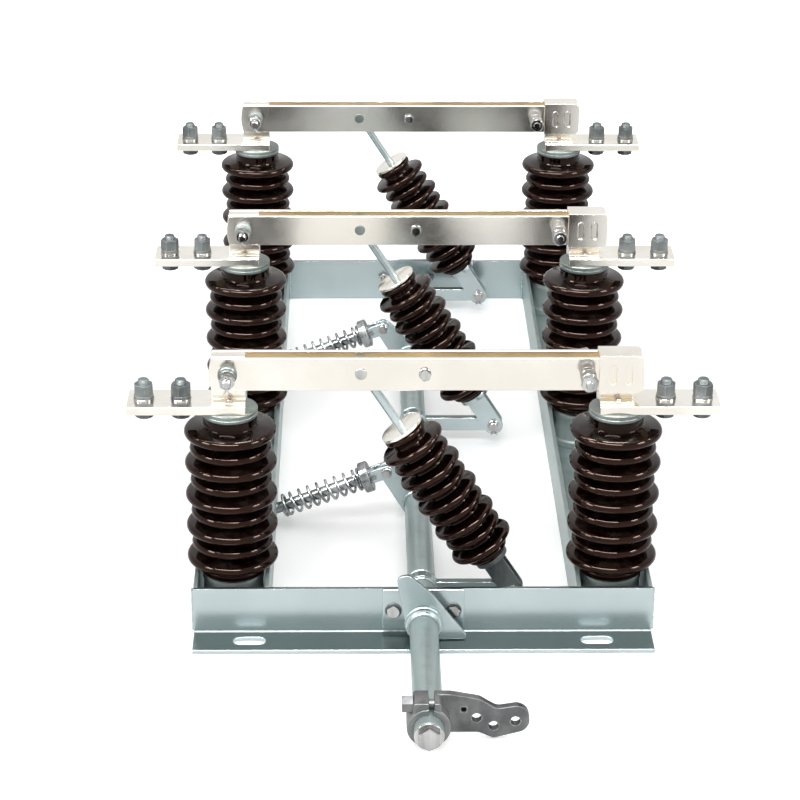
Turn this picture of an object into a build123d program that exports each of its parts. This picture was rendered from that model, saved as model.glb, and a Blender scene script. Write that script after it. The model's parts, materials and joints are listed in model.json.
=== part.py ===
from build123d import *
import os
from math import acos, atan2, cos, degrees, hypot, radians, sin

# Three-pole outdoor disconnect switch, in millimetres, +Z up.
# X runs from the hinge posts (-X) to the contact posts (+X). Y runs along the operating shaft,
# with the operating lever at -Y. The origin is the centre of the four fixing slots, on the
# underside of the frame. Everything is drawn with the blades closed.

# ---- driving dimensions -------------------------------------------------------------------
POST_SPACING = 525.0          # hinge post to contact post, across
PHASE_PITCH = 550.0           # one pole to the next, along the shaft
FRAME_LENGTH = 1346.0         # lip to lip of the two angles
FIRST_POLE = 130.0            # front lip to the first pole
POLES = [FIRST_POLE - FRAME_LENGTH / 2 + i * PHASE_PITCH for i in range(3)]
BAY = 265.0                   # from a pole to the spring behind it
BAYS = [POLES[0] + BAY, POLES[1] + BAY]
OVER = 1.0                    # how far a cutting shape runs past what it cuts

# frame
STEEL = 6.0                   # wall of the channels and angles
RAIL_WIDTH = 104.0
RAIL_HEIGHT = 72.0
LEG_REACH = 52.0              # flat leg of the angles, beyond the upright one
HALF_WIDTH = POST_SPACING / 2 + RAIL_WIDTH / 2
FRONT_FACE = -FRAME_LENGTH / 2 + LEG_REACH      # outer face of the front angle's upright leg
REAR_FACE = FRAME_LENGTH / 2 - LEG_REACH
SLOT_X = 237.5                # fixing slots, from the centre line
SLOT_Y = FRAME_LENGTH / 2 - LEG_REACH / 2
SLOT_LENGTH = 44.0
SLOT_WIDTH = 20.0
ROD_SLOT_LENGTH = 37.0        # upright slots in the channel, for the spring rods
ROD_SLOT_WIDTH = 22.0
ROD_SLOT_Z = 26.0

# posts
POST_X = POST_SPACING / 2
BASE_TOP = 61.0               # top of the metal base under each porcelain
BASE_FOOT_RADIUS = 45.0
BASE_NECK_RADIUS = 42.0
PORCELAIN_TOP = 298.0
POST_CORE = 37.0
POST_RIM = 6.5                # radius of a shed's round edge
POST_SHED_PITCH = 47.2
LARGE_SHEDS = [(26.0 + i * POST_SHED_PITCH, 63.0) for i in range(5)]
SMALL_SHEDS = [(48.0 + i * POST_SHED_PITCH, 56.0) for i in range(4)]
POST_COLLAR = (8.0, 46.0)    # the low collar above the base
CAP_RADIUS = 38.0

# terminal bars and their bolts
PAD_BOTTOM = 310.0
PAD_THICK = 12.0
PAD_TOP = PAD_BOTTOM + PAD_THICK
PAD_WIDTH = 60.0
PAD_TIP = 400.0
PAD_BOLTS = [328.0, 378.0]    # terminal bolts, from the centre line
FOOT_LENGTH = 46.0
FOOT_WIDTH = 46.0
FOOT_THICK = 4.0
HINGE_FOOT = -286.0           # left end of the hinge bracket's foot
CONTACT_FOOT = 237.0          # left end of the fixed contact's foot
CONTACT_RISE = 20.0           # top of the fixed contact, above the blade's middle
M16 = 8.0                     # radius of the terminal bolts
M16_FLATS = 24.0
BOLT_HEAD = 13.5              # hexagon head and its washer, under the bar
WASHER_RADIUS = 14.0
WASHER_STACK = 7.0
NUT_STACK = 17.0
BOLT_END = 5.0                # rounded bolt end above the nuts
BOLT_END_RADII = (11.0, 4.0)

# shaft
SHAFT_Z = 32.0
SHAFT_RADIUS = 19.5
SHAFT_WALL = 3.5
SHAFT_CUT = 60.0              # reach of the shaft's hole in a part on it, each way
SHAFT_FRONT = POLES[0] - 395.0
SHAFT_BACK = FRAME_LENGTH / 2
PLUG_LENGTH = 38.0            # screw that closes the shaft's front end
PLUG_FLATS = 29.0
PLUG_HEAD = 11.0
SHAFT_COLLAR_RADIUS = 25.0    # ring that keeps the shaft from sliding, behind the rear bearing
SHAFT_COLLAR_LENGTH = 12.0
CRANK = 127.0                 # crank pin, from the shaft axis
CRANK_THICK = 12.0
CRANK_HALF = 11.0
CRANK_PIN_RADIUS = 6.2
CRANK_HUB_RADIUS = 22.5
CRANK_HUB_LENGTH = 16.0
TRAVEL = 80.0                 # turn of the shaft from closed to open

# bearings
BUSH_RADIUS = 23.0
BUSH_INSIDE = 14.0            # length of the bush inside the angle
BEARING_BOLT_X = 41.0         # bearing bolts, from the centre line
BEARING_BOLT_Z = 41.0
BEARING_BOLT_FLATS = 17.0
BEARING_BOLT_RADIUS = 5.0
BEARING_BOLT_HEAD = 7.0
BEARING_HALF = 56.0
BEARING_LOW, BEARING_HIGH = 13.0, 73.0
BEARING_THICK = 5.0
RUN = 0.15                    # radial clearance of the turning pins

# stop plate
STOP_BACK = FRONT_FACE - 20.0
STOP_THICK = 6.0
STOP_REACH = 24.5             # distance of both stop edges from the shaft axis
STOP_HEEL = 25.5              # round corner between the two stop edges
STOP_LOBE = 75.4              # length of the left stop edge
STOP_TIP = (60.0, 12.0)
STOP_TOE = 56.0
STOP_WAIST = (10.0, 78.0)
STOP_LOBE_ROUND = 8.0
STOP_TIP_ROUND = 3.0
STOP_COLLAR_RADIUS = 24.3
STOP_COLLAR_LENGTH = 18.0

# operating lever
LEVER_FRONT = POLES[0] - 377.0
LEVER_BACK = POLES[0] - 340.0
LEVER_THICK = 11.5
LEVER_HOLES = [(61.6, 0.7), (83.4, -11.1), (111.4, -4.3)]      # from the shaft axis
LEVER_HOLE_RADIUS = 7.6
LEVER_TOP = [(12, 35), (28, 35), (64.7, 28), (87.4, 13.6), (115.6, 18.3)]
LEVER_END = [(128, 10), (130, -8), (123.1, -18.8)]
LEVER_UNDER = [(83.6, -29.5), (64.4, -20.6), (16, -20.6)]
LEVER_END_ROUND = 7.5
LEVER_BEND_ROUND = 12.0
HUB_RADIUS = 28.3
HUB_STEP = 2.0                # the hub's round front stands this far before its ears
EAR_LEFT, EAR_RIGHT, EAR_TOP = -20.0, 16.0, 35.0
HUB_SPLIT = 7.0
SQUARE_HOLE = (40.6, 8.6)     # lower left corner of the lever's square blind hole
SQUARE_SIDE = 9.0
SQUARE_DEPTH = 6.0
CLAMP_Z = 25.0                # clamp bolt, above the shaft axis
CLAMP_FLATS = 21.0
CLAMP_HEAD = 14.0

# blades
BLADE_Z = 363.5
BLADE_HEIGHT = 47.0
BAR = 6.0                     # thickness of one blade bar
JAW = 20.0                    # gap between the two bars
TONGUE = JAW - 0.6            # what stands between them
BLADE_LEFT, BLADE_RIGHT = -289.0, 289.0
BLADE_CROWN = 4.0             # how far the hinge end bulges
HINGE = (-264.0, 363.5)
HINGE_RADIUS = 6.0
LINK_PIN = (-85.0, 364.5)
LINK_PIN_RADIUS = 5.0
LINK_HEAD_RADIUS = 8.0
LINK_HEAD_THICK = 1.5
PIN_FIT = 0.2                 # the bars' holes, larger than their pins
MID_BOLT_X = 1.0
MID_BOLT_Z = 364.5
MID_BOLT_FLATS = 14.0
MID_BOLT_HEAD = 8.0
SPACER_RADIUS = 7.0
HINGE_CUP_RADIUS = 13.0
HINGE_CUP = 12.0
HINGE_NUT_FLATS = 19.0
HINGE_NUT_FRONT, HINGE_NUT_BACK = 44.0, 25.0      # ends of the hinge nuts, from the pole's plane
HINGE_BOLT_FRONT, HINGE_BOLT_BACK = 52.0, 30.0
CONTACT_BOLT_X = 220.0
CONTACT_SLEEVE_RADIUS = 11.0
CONTACT_SLEEVE = 26.0
CONTACT_NUT = 12.0
CONTACT_NUT_FLATS = 21.0

# blade covers
COVER_LEFT, COVER_RIGHT = 235.0, 295.0
COVER_SHEET = 2.0
COVER_BOTTOM, COVER_TOP = 337.0, 391.0
COVER_ROUND = 8.0
COVER_SLOTS = (254.0, 275.0)
COVER_SLOT_LENGTH, COVER_SLOT_WIDTH = 28.0, 9.0

# pull insulators, measured from the link pin
CRANK_PIN = (CRANK, SHAFT_Z)
LINK = hypot(CRANK_PIN[0] - LINK_PIN[0], CRANK_PIN[1] - LINK_PIN[1])
PULL_TOP, PULL_BOTTOM = 105.0, 332.0      # ends of the porcelain
PULL_CORE = 25.0
PULL_RIM = 5.0
PULL_SHEDS = [(26.0 + i * 22.25, 46.0 if i % 2 == 0 else 42.0) for i in range(9)]
PULL_COLLARS = [(6.0, 31.0), (219.0, 31.0)]     # the collars at both ends
PULL_ROD_RADIUS = 6.0
PULL_ROD_START = 9.0
PULL_EYE_RADIUS = 12.0
PULL_EYE_HALF = 7.5
PULL_DISC_RADIUS = 31.0
PULL_DISC = 4.0
PULL_FOOT_RADIUS = 24.0
PULL_FOOT = 8.0
FORK = 5.0                    # thickness of one fork strap
FORK_GAP = 1.0                # clearance of the fork beside the crank
FORK_HALF = 15.0
FORK_PIN_RADIUS = 8.0
FORK_PIN_HEAD = 5.0

# springs, measured from the spring pin
SPRING_CRANK = 71.5
SPRING_ANGLE = 130.0          # of the spring crank when closed, from +X
SPRING_LEVER_THICK = 8.0
SPRING_HUB_RADIUS = 24.0
SPRING_EYE_RADIUS = 13.0
SPRING_PIN = (SPRING_CRANK * cos(radians(SPRING_ANGLE)),
              SHAFT_Z + SPRING_CRANK * sin(radians(SPRING_ANGLE)))
SPRING_SEAT = (-POST_X + RAIL_WIDTH / 2 + 2.0, 24.0)   # where the rod passes the channel
SPRING_LENGTH = hypot(SPRING_SEAT[0] - SPRING_PIN[0], SPRING_SEAT[1] - SPRING_PIN[1])
SPRING_PIN_RADIUS = 5.0
SPRING_PIN_HEAD = 3.0
CLEVIS_REACH = 20.0
CLEVIS_RADIUS = 10.0
NECK_START, NECK_END, NECK_RADIUS = 17.0, 27.0, 11.0
DISC_START, DISC_END, DISC_RADIUS = 26.0, 39.0, 23.4
ROD_START = 19.0
ROD_PAST_SEAT = 18.0
ROD_RADIUS = 8.0
COIL_RADIUS = 15.5
WIRE_RADIUS = 2.2
COIL_TURNS = 10
COIL_GAP = 0.3                # between the end coils and what they press on
COIL_SEAT = 8.0               # the coil ends this far before the seat


# ---- helpers ------------------------------------------------------------------------------
def block(x0, x1, y0, y1, z0, z1):
    """A box given by its corners."""
    return Pos((x0 + x1) / 2, (y0 + y1) / 2, (z0 + z1) / 2) * Box(x1 - x0, y1 - y0, z1 - z0)


def rod_y(x, z, y0, y1, radius):
    """A round bar along Y, between two depths given in either order."""
    return Pos(x, (y0 + y1) / 2, z) * Rot(90, 0, 0) * Cylinder(radius, abs(y1 - y0))


def hex_y(x, z, y0, y1, flats):
    """A hexagon bar along Y, given across its flats."""
    return plate(Pos(x, z) * hexagon(flats), y0, y1)


def hexagon(flats):
    """The outline of a nut or bolt head."""
    return RegularPolygon(flats / 2, 6, major_radius=False)


def post(x, y, z0, z1, radius):
    """A round bar along Z."""
    return Pos(x, y, (z0 + z1) / 2) * Cylinder(radius, z1 - z0)


def plate(outline, y0, y1):
    """An outline drawn in X and Z, as a plate between two depths given in either order."""
    flat = Plane(origin=(0, min(y0, y1), 0), x_dir=(1, 0, 0), z_dir=(0, -1, 0)) * outline
    return extrude(flat, -abs(y1 - y0))


def strap(start, end, radius):
    """The outline of a bar with round ends, from one point to another."""
    length = hypot(end[0] - start[0], end[1] - start[1])
    turn = degrees(atan2(end[1] - start[1], end[0] - start[0]))
    middle = ((start[0] + end[0]) / 2, (start[1] + end[1]) / 2)
    return Pos(*middle) * Rot(0, 0, turn) * SlotCenterToCenter(length, 2 * radius)


def taper(start, start_radius, end, end_radius):
    """The outline that wraps two circles of different size."""
    circles = Pos(*start) * Circle(start_radius), Pos(*end) * Circle(end_radius)
    return make_hull(circles[0].edges() + circles[1].edges())


def rounded(outline, places, radius):
    """An outline with its corners at some places rounded."""
    for x, z in places:
        outline = fillet(outline.vertices().sort_by_distance((x, z, 0))[0], radius)
    return outline


def polar(centre, radius, angle):
    """A point at a distance and an angle from a centre, in X and Z."""
    return (centre[0] + radius * cos(radians(angle)), centre[1] + radius * sin(radians(angle)))


def upright(radius, height):
    """A round bar that stands on its own origin."""
    return Cylinder(radius, height, align=(Align.CENTER, Align.CENTER, Align.MIN))


def porcelain(length, core, sheds, rim):
    """A glazed body along +Z: a core with round-edged sheds, each given as (height, radius)."""
    outline = Pos(core / 2, length / 2) * Rectangle(core, length)
    for height, radius in sheds:
        edge = radius - rim
        wing = Polyline((0, height + 2.4 * rim), (edge, height + rim), (edge, height - rim),
                        (0, height - 1.7 * rim), close=True)
        outline += make_face(wing) + Pos(edge, height) * Circle(rim)
    outline &= Pos(length / 2, length / 2) * Rectangle(length, length)
    return revolve(Plane.XZ * outline, Axis.Z)


def along(start, end, y):
    """The place whose +Z runs from one X, Z point to another, in the plane at y."""
    return Plane(origin=(start[0], y, start[1]), x_dir=(0, 1, 0),
                 z_dir=(end[0] - start[0], 0, end[1] - start[1])).location


# ---- frame --------------------------------------------------------------------------------
def rail(side):
    """One channel, open upwards, under a row of posts; side is -1 or +1."""
    x = side * POST_X
    y0, y1 = FRONT_FACE + STEEL, REAR_FACE - STEEL
    half = RAIL_WIDTH / 2
    body = block(x - half, x + half, y0, y1, 0, RAIL_HEIGHT)
    return body - block(x - half + STEEL, x + half - STEEL, y0 - OVER, y1 + OVER,
                        STEEL, RAIL_HEIGHT + OVER)


def hinge_rail():
    """The hinge side's channel, with an upright slot for each spring rod."""
    body = rail(-1)
    for y in BAYS:
        slot = Pos(-POST_X + RAIL_WIDTH / 2, y, ROD_SLOT_Z) * Rot(0, 90, 0)
        body -= slot * extrude(SlotOverall(ROD_SLOT_LENGTH, ROD_SLOT_WIDTH), STEEL + OVER, both=True)
    return body


def cross_angle(end):
    """One angle across the frame's end, flat leg outwards; end is -1 or +1."""
    face = end * REAR_FACE
    lip = end * FRAME_LENGTH / 2
    inside = face - end * STEEL
    body = block(-HALF_WIDTH, HALF_WIDTH, min(inside, face), max(inside, face), 0, RAIL_HEIGHT)
    body += block(-HALF_WIDTH, HALF_WIDTH, min(inside, lip), max(inside, lip), 0, STEEL)
    through = (inside - end * OVER, face + end * OVER)
    body -= rod_y(0, SHAFT_Z, *through, BUSH_RADIUS + PIN_FIT)
    for x in (-SLOT_X, SLOT_X):
        body -= Pos(x, end * SLOT_Y, 0) * extrude(SlotOverall(SLOT_LENGTH, SLOT_WIDTH), STEEL + OVER)
    for x in (-BEARING_BOLT_X, BEARING_BOLT_X):
        body -= rod_y(x, BEARING_BOLT_Z, *through, BEARING_BOLT_RADIUS + PIN_FIT)
    return body


def bearing(end):
    """A bolted plate with a bush that carries the shaft."""
    face = end * REAR_FACE
    outer = face + end * BEARING_THICK
    inner = face - end * BUSH_INSIDE
    body = block(-BEARING_HALF, BEARING_HALF, min(face, outer), max(face, outer), BEARING_LOW, BEARING_HIGH)
    body = fillet(body.edges().filter_by(Axis.Y), 3)
    body += rod_y(0, SHAFT_Z, inner, outer, BUSH_RADIUS)
    body -= rod_y(0, SHAFT_Z, inner - end * OVER, outer + end * OVER, SHAFT_RADIUS + RUN)
    for x in (-BEARING_BOLT_X, BEARING_BOLT_X):
        body += hex_y(x, BEARING_BOLT_Z, outer, outer + end * BEARING_BOLT_HEAD, BEARING_BOLT_FLATS)
        body += rod_y(x, BEARING_BOLT_Z, inner, outer, BEARING_BOLT_RADIUS)
    return body


# ---- posts --------------------------------------------------------------------------------
def posts(side):
    """Three porcelain posts over one channel."""
    sheds = LARGE_SHEDS + SMALL_SHEDS + [POST_COLLAR]
    body = porcelain(PORCELAIN_TOP - BASE_TOP, POST_CORE, sheds, POST_RIM)
    return [Pos(side * POST_X, y, BASE_TOP) * body for y in POLES]


def post_bases():
    """Cast bases that stand on the channels' webs."""
    base = Cone(BASE_FOOT_RADIUS, BASE_NECK_RADIUS, BASE_TOP - STEEL,
                align=(Align.CENTER, Align.CENTER, Align.MIN))
    return [Pos(x, y, STEEL) * base for x in (-POST_X, POST_X) for y in POLES]


def post_caps():
    """Round top flanges of the posts."""
    return [post(x, y, PORCELAIN_TOP, PAD_BOTTOM, CAP_RADIUS) for x in (-POST_X, POST_X) for y in POLES]


# ---- terminals ----------------------------------------------------------------------------
def pad(inner_end, side, y):
    """A flat terminal bar with its two bolt holes; side is -1 or +1."""
    tip = side * PAD_TIP
    body = block(min(inner_end, tip), max(inner_end, tip), y - PAD_WIDTH / 2, y + PAD_WIDTH / 2,
                 PAD_BOTTOM, PAD_TOP)
    for x in PAD_BOLTS:
        body -= post(side * x, y, PAD_BOTTOM - OVER, PAD_TOP + OVER, M16 + PIN_FIT)
    return body


def bracket(left, top, y):
    """A foot with an upright tongue, which stands on a terminal bar."""
    right = left + FOOT_LENGTH
    foot = block(left, right, y - FOOT_WIDTH / 2, y + FOOT_WIDTH / 2, PAD_TOP, PAD_TOP + FOOT_THICK)
    return foot + block(left, right, y - TONGUE / 2, y + TONGUE / 2, PAD_TOP, top)


def hinge_terminal(y):
    """Left terminal bar with the upright bracket that the blade turns on."""
    body = pad(HINGE_FOOT + FOOT_LENGTH, -1, y) + bracket(HINGE_FOOT, BLADE_Z + BLADE_HEIGHT / 2, y)
    return body - rod_y(*HINGE, y - JAW, y + JAW, HINGE_RADIUS + RUN)


def contact_terminal(y):
    """Right terminal bar with the fixed contact that stands between the blade's bars."""
    return pad(CONTACT_FOOT, 1, y) + bracket(CONTACT_FOOT, BLADE_Z + CONTACT_RISE, y)


def terminal_bolt(x, y):
    """One bolt through a terminal bar: head below, washers and nut above, round end."""
    nut_start = PAD_TOP + WASHER_STACK
    nut_end = nut_start + NUT_STACK
    body = Pos(x, y, PAD_BOTTOM - BOLT_HEAD) * extrude(hexagon(M16_FLATS), BOLT_HEAD)
    body += post(x, y, PAD_BOTTOM - OVER, nut_end, M16)
    body += post(x, y, PAD_TOP, nut_start, WASHER_RADIUS)
    body += Pos(x, y, nut_start) * extrude(hexagon(M16_FLATS), NUT_STACK)
    return body + Pos(x, y, nut_end) * Cone(*BOLT_END_RADII, BOLT_END,
                                            align=(Align.CENTER, Align.CENTER, Align.MIN))


def terminal_bolts():
    """All twelve terminal bolts."""
    return [terminal_bolt(side * x, y) for y in POLES for side in (-1, 1) for x in PAD_BOLTS]


# ---- shaft and what turns with it ---------------------------------------------------------
def shaft():
    """The operating pipe, with its end screw and the ring behind the rear bearing."""
    body = rod_y(0, SHAFT_Z, SHAFT_FRONT, SHAFT_BACK, SHAFT_RADIUS)
    ring = REAR_FACE + BEARING_THICK + OVER
    body += rod_y(0, SHAFT_Z, ring, ring + SHAFT_COLLAR_LENGTH, SHAFT_COLLAR_RADIUS)
    body -= rod_y(0, SHAFT_Z, SHAFT_FRONT - OVER, SHAFT_BACK + OVER, SHAFT_RADIUS - SHAFT_WALL)
    body += rod_y(0, SHAFT_Z, SHAFT_FRONT, SHAFT_FRONT + PLUG_LENGTH, SHAFT_RADIUS - SHAFT_WALL / 2)
    return body + hex_y(0, SHAFT_Z, SHAFT_FRONT - PLUG_HEAD, SHAFT_FRONT + OVER, PLUG_FLATS)


def shaft_hole(y):
    """What the shaft takes out of a part clamped or welded on it at y."""
    return rod_y(0, SHAFT_Z, y - SHAFT_CUT, y + SHAFT_CUT, SHAFT_RADIUS)


def crank_arm(y):
    """A flat crank welded to the shaft, with its pin hole at the end."""
    arm = strap((0, SHAFT_Z), CRANK_PIN, CRANK_HALF)
    body = plate(arm, y - CRANK_THICK / 2, y + CRANK_THICK / 2)
    body += rod_y(0, SHAFT_Z, y - CRANK_HUB_LENGTH / 2, y + CRANK_HUB_LENGTH / 2, CRANK_HUB_RADIUS)
    return body - shaft_hole(y) - rod_y(*CRANK_PIN, y - CRANK_THICK, y + CRANK_THICK, CRANK_PIN_RADIUS)


def spring_lever(y):
    """The small over-centre lever that loads one spring."""
    outline = taper((0, SHAFT_Z), SPRING_HUB_RADIUS, SPRING_PIN, SPRING_EYE_RADIUS)
    body = plate(outline, y - SPRING_LEVER_THICK / 2, y + SPRING_LEVER_THICK / 2)
    pin = rod_y(*SPRING_PIN, y - SPRING_LEVER_THICK, y + SPRING_LEVER_THICK, SPRING_PIN_RADIUS + RUN)
    return body - shaft_hole(y) - pin


def stop_plate():
    """The plate that meets the front angle's flat leg at both ends of the travel."""
    axis = (0, SHAFT_Z)
    side = 270 - TRAVEL                    # way that the left stop edge faces when closed
    half_heel = degrees(acos(STOP_REACH / STOP_HEEL))
    right = polar(axis, STOP_HEEL, 270 - half_heel)
    middle = polar(axis, STOP_HEEL, (270 + side) / 2)
    left = polar(axis, STOP_HEEL, side + half_heel)
    top = polar(polar(axis, STOP_REACH, side), STOP_LOBE, side - 90)
    rest = [left, top, (top[0] + 17, top[1] + 4), STOP_WAIST, STOP_TIP, (STOP_TOE, right[1]), right]
    outline = make_face(ThreePointArc(right, middle, left) + Polyline(*rest))
    outline = rounded(outline, rest[1:3], STOP_LOBE_ROUND)
    outline = rounded(outline, rest[4:6], STOP_TIP_ROUND)
    body = plate(outline, STOP_BACK - STOP_THICK, STOP_BACK)
    body += rod_y(0, SHAFT_Z, STOP_BACK - STOP_COLLAR_LENGTH, STOP_BACK, STOP_COLLAR_RADIUS)
    return body - shaft_hole(STOP_BACK)


def above_axis(x, z):
    """A point given from the shaft's axis, in X and Z."""
    return (x, SHAFT_Z + z)


def lever_outline():
    """The outline of the operating lever's arm, with its bends rounded."""
    corners = [above_axis(*p) for p in LEVER_TOP + LEVER_END + LEVER_UNDER]
    arm = make_face(Polyline(*corners, close=True))
    ends = [above_axis(*p) for p in LEVER_TOP[-1:] + LEVER_END]
    bends = [above_axis(*p) for p in LEVER_TOP[2:4] + LEVER_UNDER[1:2]]
    return rounded(rounded(arm, ends, LEVER_END_ROUND), bends, LEVER_BEND_ROUND)


def operating_lever():
    """The cast lever clamped on the shaft's front end, with its split hub."""
    front = LEVER_BACK - LEVER_THICK
    body = plate(lever_outline(), front, LEVER_BACK)
    body += rod_y(0, SHAFT_Z, LEVER_FRONT, LEVER_BACK, HUB_RADIUS)
    body += block(EAR_LEFT, EAR_RIGHT, LEVER_FRONT + HUB_STEP, LEVER_BACK, SHAFT_Z, SHAFT_Z + EAR_TOP)
    body -= shaft_hole(LEVER_BACK)
    body -= block(0, HUB_SPLIT, LEVER_FRONT - OVER, LEVER_BACK + OVER, SHAFT_Z, SHAFT_Z + EAR_TOP + OVER)
    for hole in LEVER_HOLES:
        body -= rod_y(*above_axis(*hole), front - OVER, LEVER_BACK + OVER, LEVER_HOLE_RADIUS)
    x, z = above_axis(*SQUARE_HOLE)
    return body - block(x, x + SQUARE_SIDE, front - OVER, front + SQUARE_DEPTH, z, z + SQUARE_SIDE)


def lever_clamp_bolt():
    """The head of the bolt that pinches the lever's split hub."""
    middle = (LEVER_FRONT + HUB_STEP + LEVER_BACK) / 2
    place = Pos(EAR_LEFT, middle, SHAFT_Z + CLAMP_Z) * Rot(0, -90, 0)
    head = place * extrude(hexagon(CLAMP_FLATS), CLAMP_HEAD)
    return head - rod_y(0, SHAFT_Z, LEVER_FRONT, LEVER_BACK, HUB_RADIUS + RUN)


# ---- blades -------------------------------------------------------------------------------
def blade(y):
    """Two flat bars on edge, held apart by a spacer."""
    low, high = BLADE_Z - BLADE_HEIGHT / 2, BLADE_Z + BLADE_HEIGHT / 2
    left = BLADE_LEFT + BLADE_CROWN
    outline = make_face(Polyline((left, low), (BLADE_RIGHT, low), (BLADE_RIGHT, high), (left, high))
                        + ThreePointArc((left, high), (BLADE_LEFT, BLADE_Z), (left, low)))
    body = rod_y(MID_BOLT_X, BLADE_Z, y - JAW / 2, y + JAW / 2, SPACER_RADIUS)
    for side in (-1, 1):
        body += plate(outline, y + side * JAW / 2, y + side * (JAW / 2 + BAR))
    body -= rod_y(*HINGE, y - JAW, y + JAW, HINGE_RADIUS + PIN_FIT)
    return body - rod_y(*LINK_PIN, y - JAW, y + JAW, LINK_PIN_RADIUS + PIN_FIT)


def blade_cover(y):
    """The folded cover over the blade's contact end, with two upright slots in each side."""
    inner = JAW / 2 + BAR
    outer = inner + COVER_SHEET
    body = block(COVER_LEFT, COVER_RIGHT, y - outer, y + outer, COVER_BOTTOM, COVER_TOP)
    body = fillet(body.edges().filter_by(Axis.Y).sort_by(Axis.X)[-2:], COVER_ROUND)
    body -= block(COVER_LEFT - OVER, COVER_RIGHT + OVER, y - inner, y + inner,
                  COVER_BOTTOM - OVER, COVER_TOP - COVER_SHEET)
    for x in COVER_SLOTS:
        slot = Pos(x, BLADE_Z) * Rot(0, 0, 90) * SlotOverall(COVER_SLOT_LENGTH, COVER_SLOT_WIDTH)
        body -= plate(slot, y - outer - OVER, y + outer + OVER)
    return body


def hinge_bolt(y):
    """The bolt that a blade turns on, with its cup washer and nuts."""
    face = JAW / 2 + BAR
    body = rod_y(*HINGE, y - HINGE_BOLT_FRONT, y + HINGE_BOLT_BACK, HINGE_RADIUS)
    body += rod_y(*HINGE, y - face - HINGE_CUP, y - face, HINGE_CUP_RADIUS)
    body += hex_y(*HINGE, y - HINGE_NUT_FRONT, y - face - HINGE_CUP, HINGE_NUT_FLATS)
    return body + hex_y(*HINGE, y + face, y + HINGE_NUT_BACK, HINGE_NUT_FLATS)


def link_pin(y):
    """The flat-headed pin that carries a pull insulator."""
    face = JAW / 2 + BAR
    end = face + LINK_HEAD_THICK
    body = rod_y(*LINK_PIN, y - end, y + end, LINK_PIN_RADIUS)
    for side in (-1, 1):
        body += rod_y(*LINK_PIN, y + side * face, y + side * end, LINK_HEAD_RADIUS)
    return body


def blade_bolts(y):
    """Hinge bolt, link pin, middle bolt heads and contact-pressure bolts of one blade."""
    face = JAW / 2 + BAR
    pieces = [hinge_bolt(y), link_pin(y)]
    for side in (-1, 1):
        start = y + side * face
        shoulder = start + side * CONTACT_SLEEVE
        sleeve = rod_y(CONTACT_BOLT_X, BLADE_Z, start, shoulder, CONTACT_SLEEVE_RADIUS)
        pieces.append(sleeve + hex_y(CONTACT_BOLT_X, BLADE_Z, shoulder, shoulder + side * CONTACT_NUT,
                                     CONTACT_NUT_FLATS))
        pieces.append(hex_y(MID_BOLT_X, MID_BOLT_Z, start, start + side * MID_BOLT_HEAD, MID_BOLT_FLATS))
    return pieces


# ---- pull insulators ----------------------------------------------------------------------
def pull_insulator(y):
    """The ribbed porcelain rod between a crank and its blade."""
    body = porcelain(PULL_BOTTOM - PULL_TOP, PULL_CORE, PULL_SHEDS + PULL_COLLARS, PULL_RIM)
    return along(LINK_PIN, CRANK_PIN, y) * Pos(0, 0, PULL_TOP) * body


def eye_rod(y):
    """The rod from the link pin to the disc on the porcelain's upper end."""
    place = along(LINK_PIN, CRANK_PIN, y)
    body = rod_y(*LINK_PIN, y - PULL_EYE_HALF, y + PULL_EYE_HALF, PULL_EYE_RADIUS)
    body += place * Pos(0, 0, PULL_ROD_START) * upright(PULL_ROD_RADIUS, PULL_TOP - PULL_ROD_START)
    body += place * Pos(0, 0, PULL_TOP - PULL_DISC) * upright(PULL_DISC_RADIUS, PULL_DISC)
    return body - rod_y(*LINK_PIN, y - JAW, y + JAW, LINK_PIN_RADIUS + RUN)


def crank_fork(y):
    """The fork that straddles the crank, with the heads of the crank pin."""
    place = along(LINK_PIN, CRANK_PIN, y)
    body = place * Pos(0, 0, PULL_BOTTOM) * upright(PULL_FOOT_RADIUS, PULL_FOOT)
    reach = LINK - PULL_BOTTOM - PULL_FOOT / 2
    inner = CRANK_THICK / 2 + FORK_GAP
    outer = inner + FORK
    for side in (-1, 1):
        leg = Pos(side * (inner + outer) / 2, 0, LINK - reach / 2) * Box(FORK, 2 * FORK_HALF, reach)
        body += place * leg
        body += rod_y(*CRANK_PIN, y + side * inner, y + side * outer, FORK_HALF)
        body += rod_y(*CRANK_PIN, y + side * outer, y + side * (outer + FORK_PIN_HEAD), FORK_PIN_RADIUS)
    return body


# ---- over-centre springs ------------------------------------------------------------------
def spring_rod(y):
    """Clevis, thrust disc and guide rod of one spring."""
    place = along(SPRING_PIN, SPRING_SEAT, y)
    body = place * Pos(0, 0, ROD_START) * upright(ROD_RADIUS, SPRING_LENGTH + ROD_PAST_SEAT - ROD_START)
    body += place * Pos(0, 0, DISC_START) * upright(DISC_RADIUS, DISC_END - DISC_START)
    body += place * Pos(0, 0, NECK_START) * upright(NECK_RADIUS, NECK_END - NECK_START)
    slope = degrees(atan2(SPRING_SEAT[1] - SPRING_PIN[1], SPRING_SEAT[0] - SPRING_PIN[0]))
    side_strap = strap(SPRING_PIN, polar(SPRING_PIN, CLEVIS_REACH, slope), CLEVIS_RADIUS)
    inner = SPRING_LEVER_THICK / 2 + FORK_GAP
    outer = inner + FORK
    for side in (-1, 1):
        body += plate(side_strap, y + side * inner, y + side * outer)
    head = outer + SPRING_PIN_HEAD
    return body + rod_y(*SPRING_PIN, y - head, y + head, SPRING_PIN_RADIUS)


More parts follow.
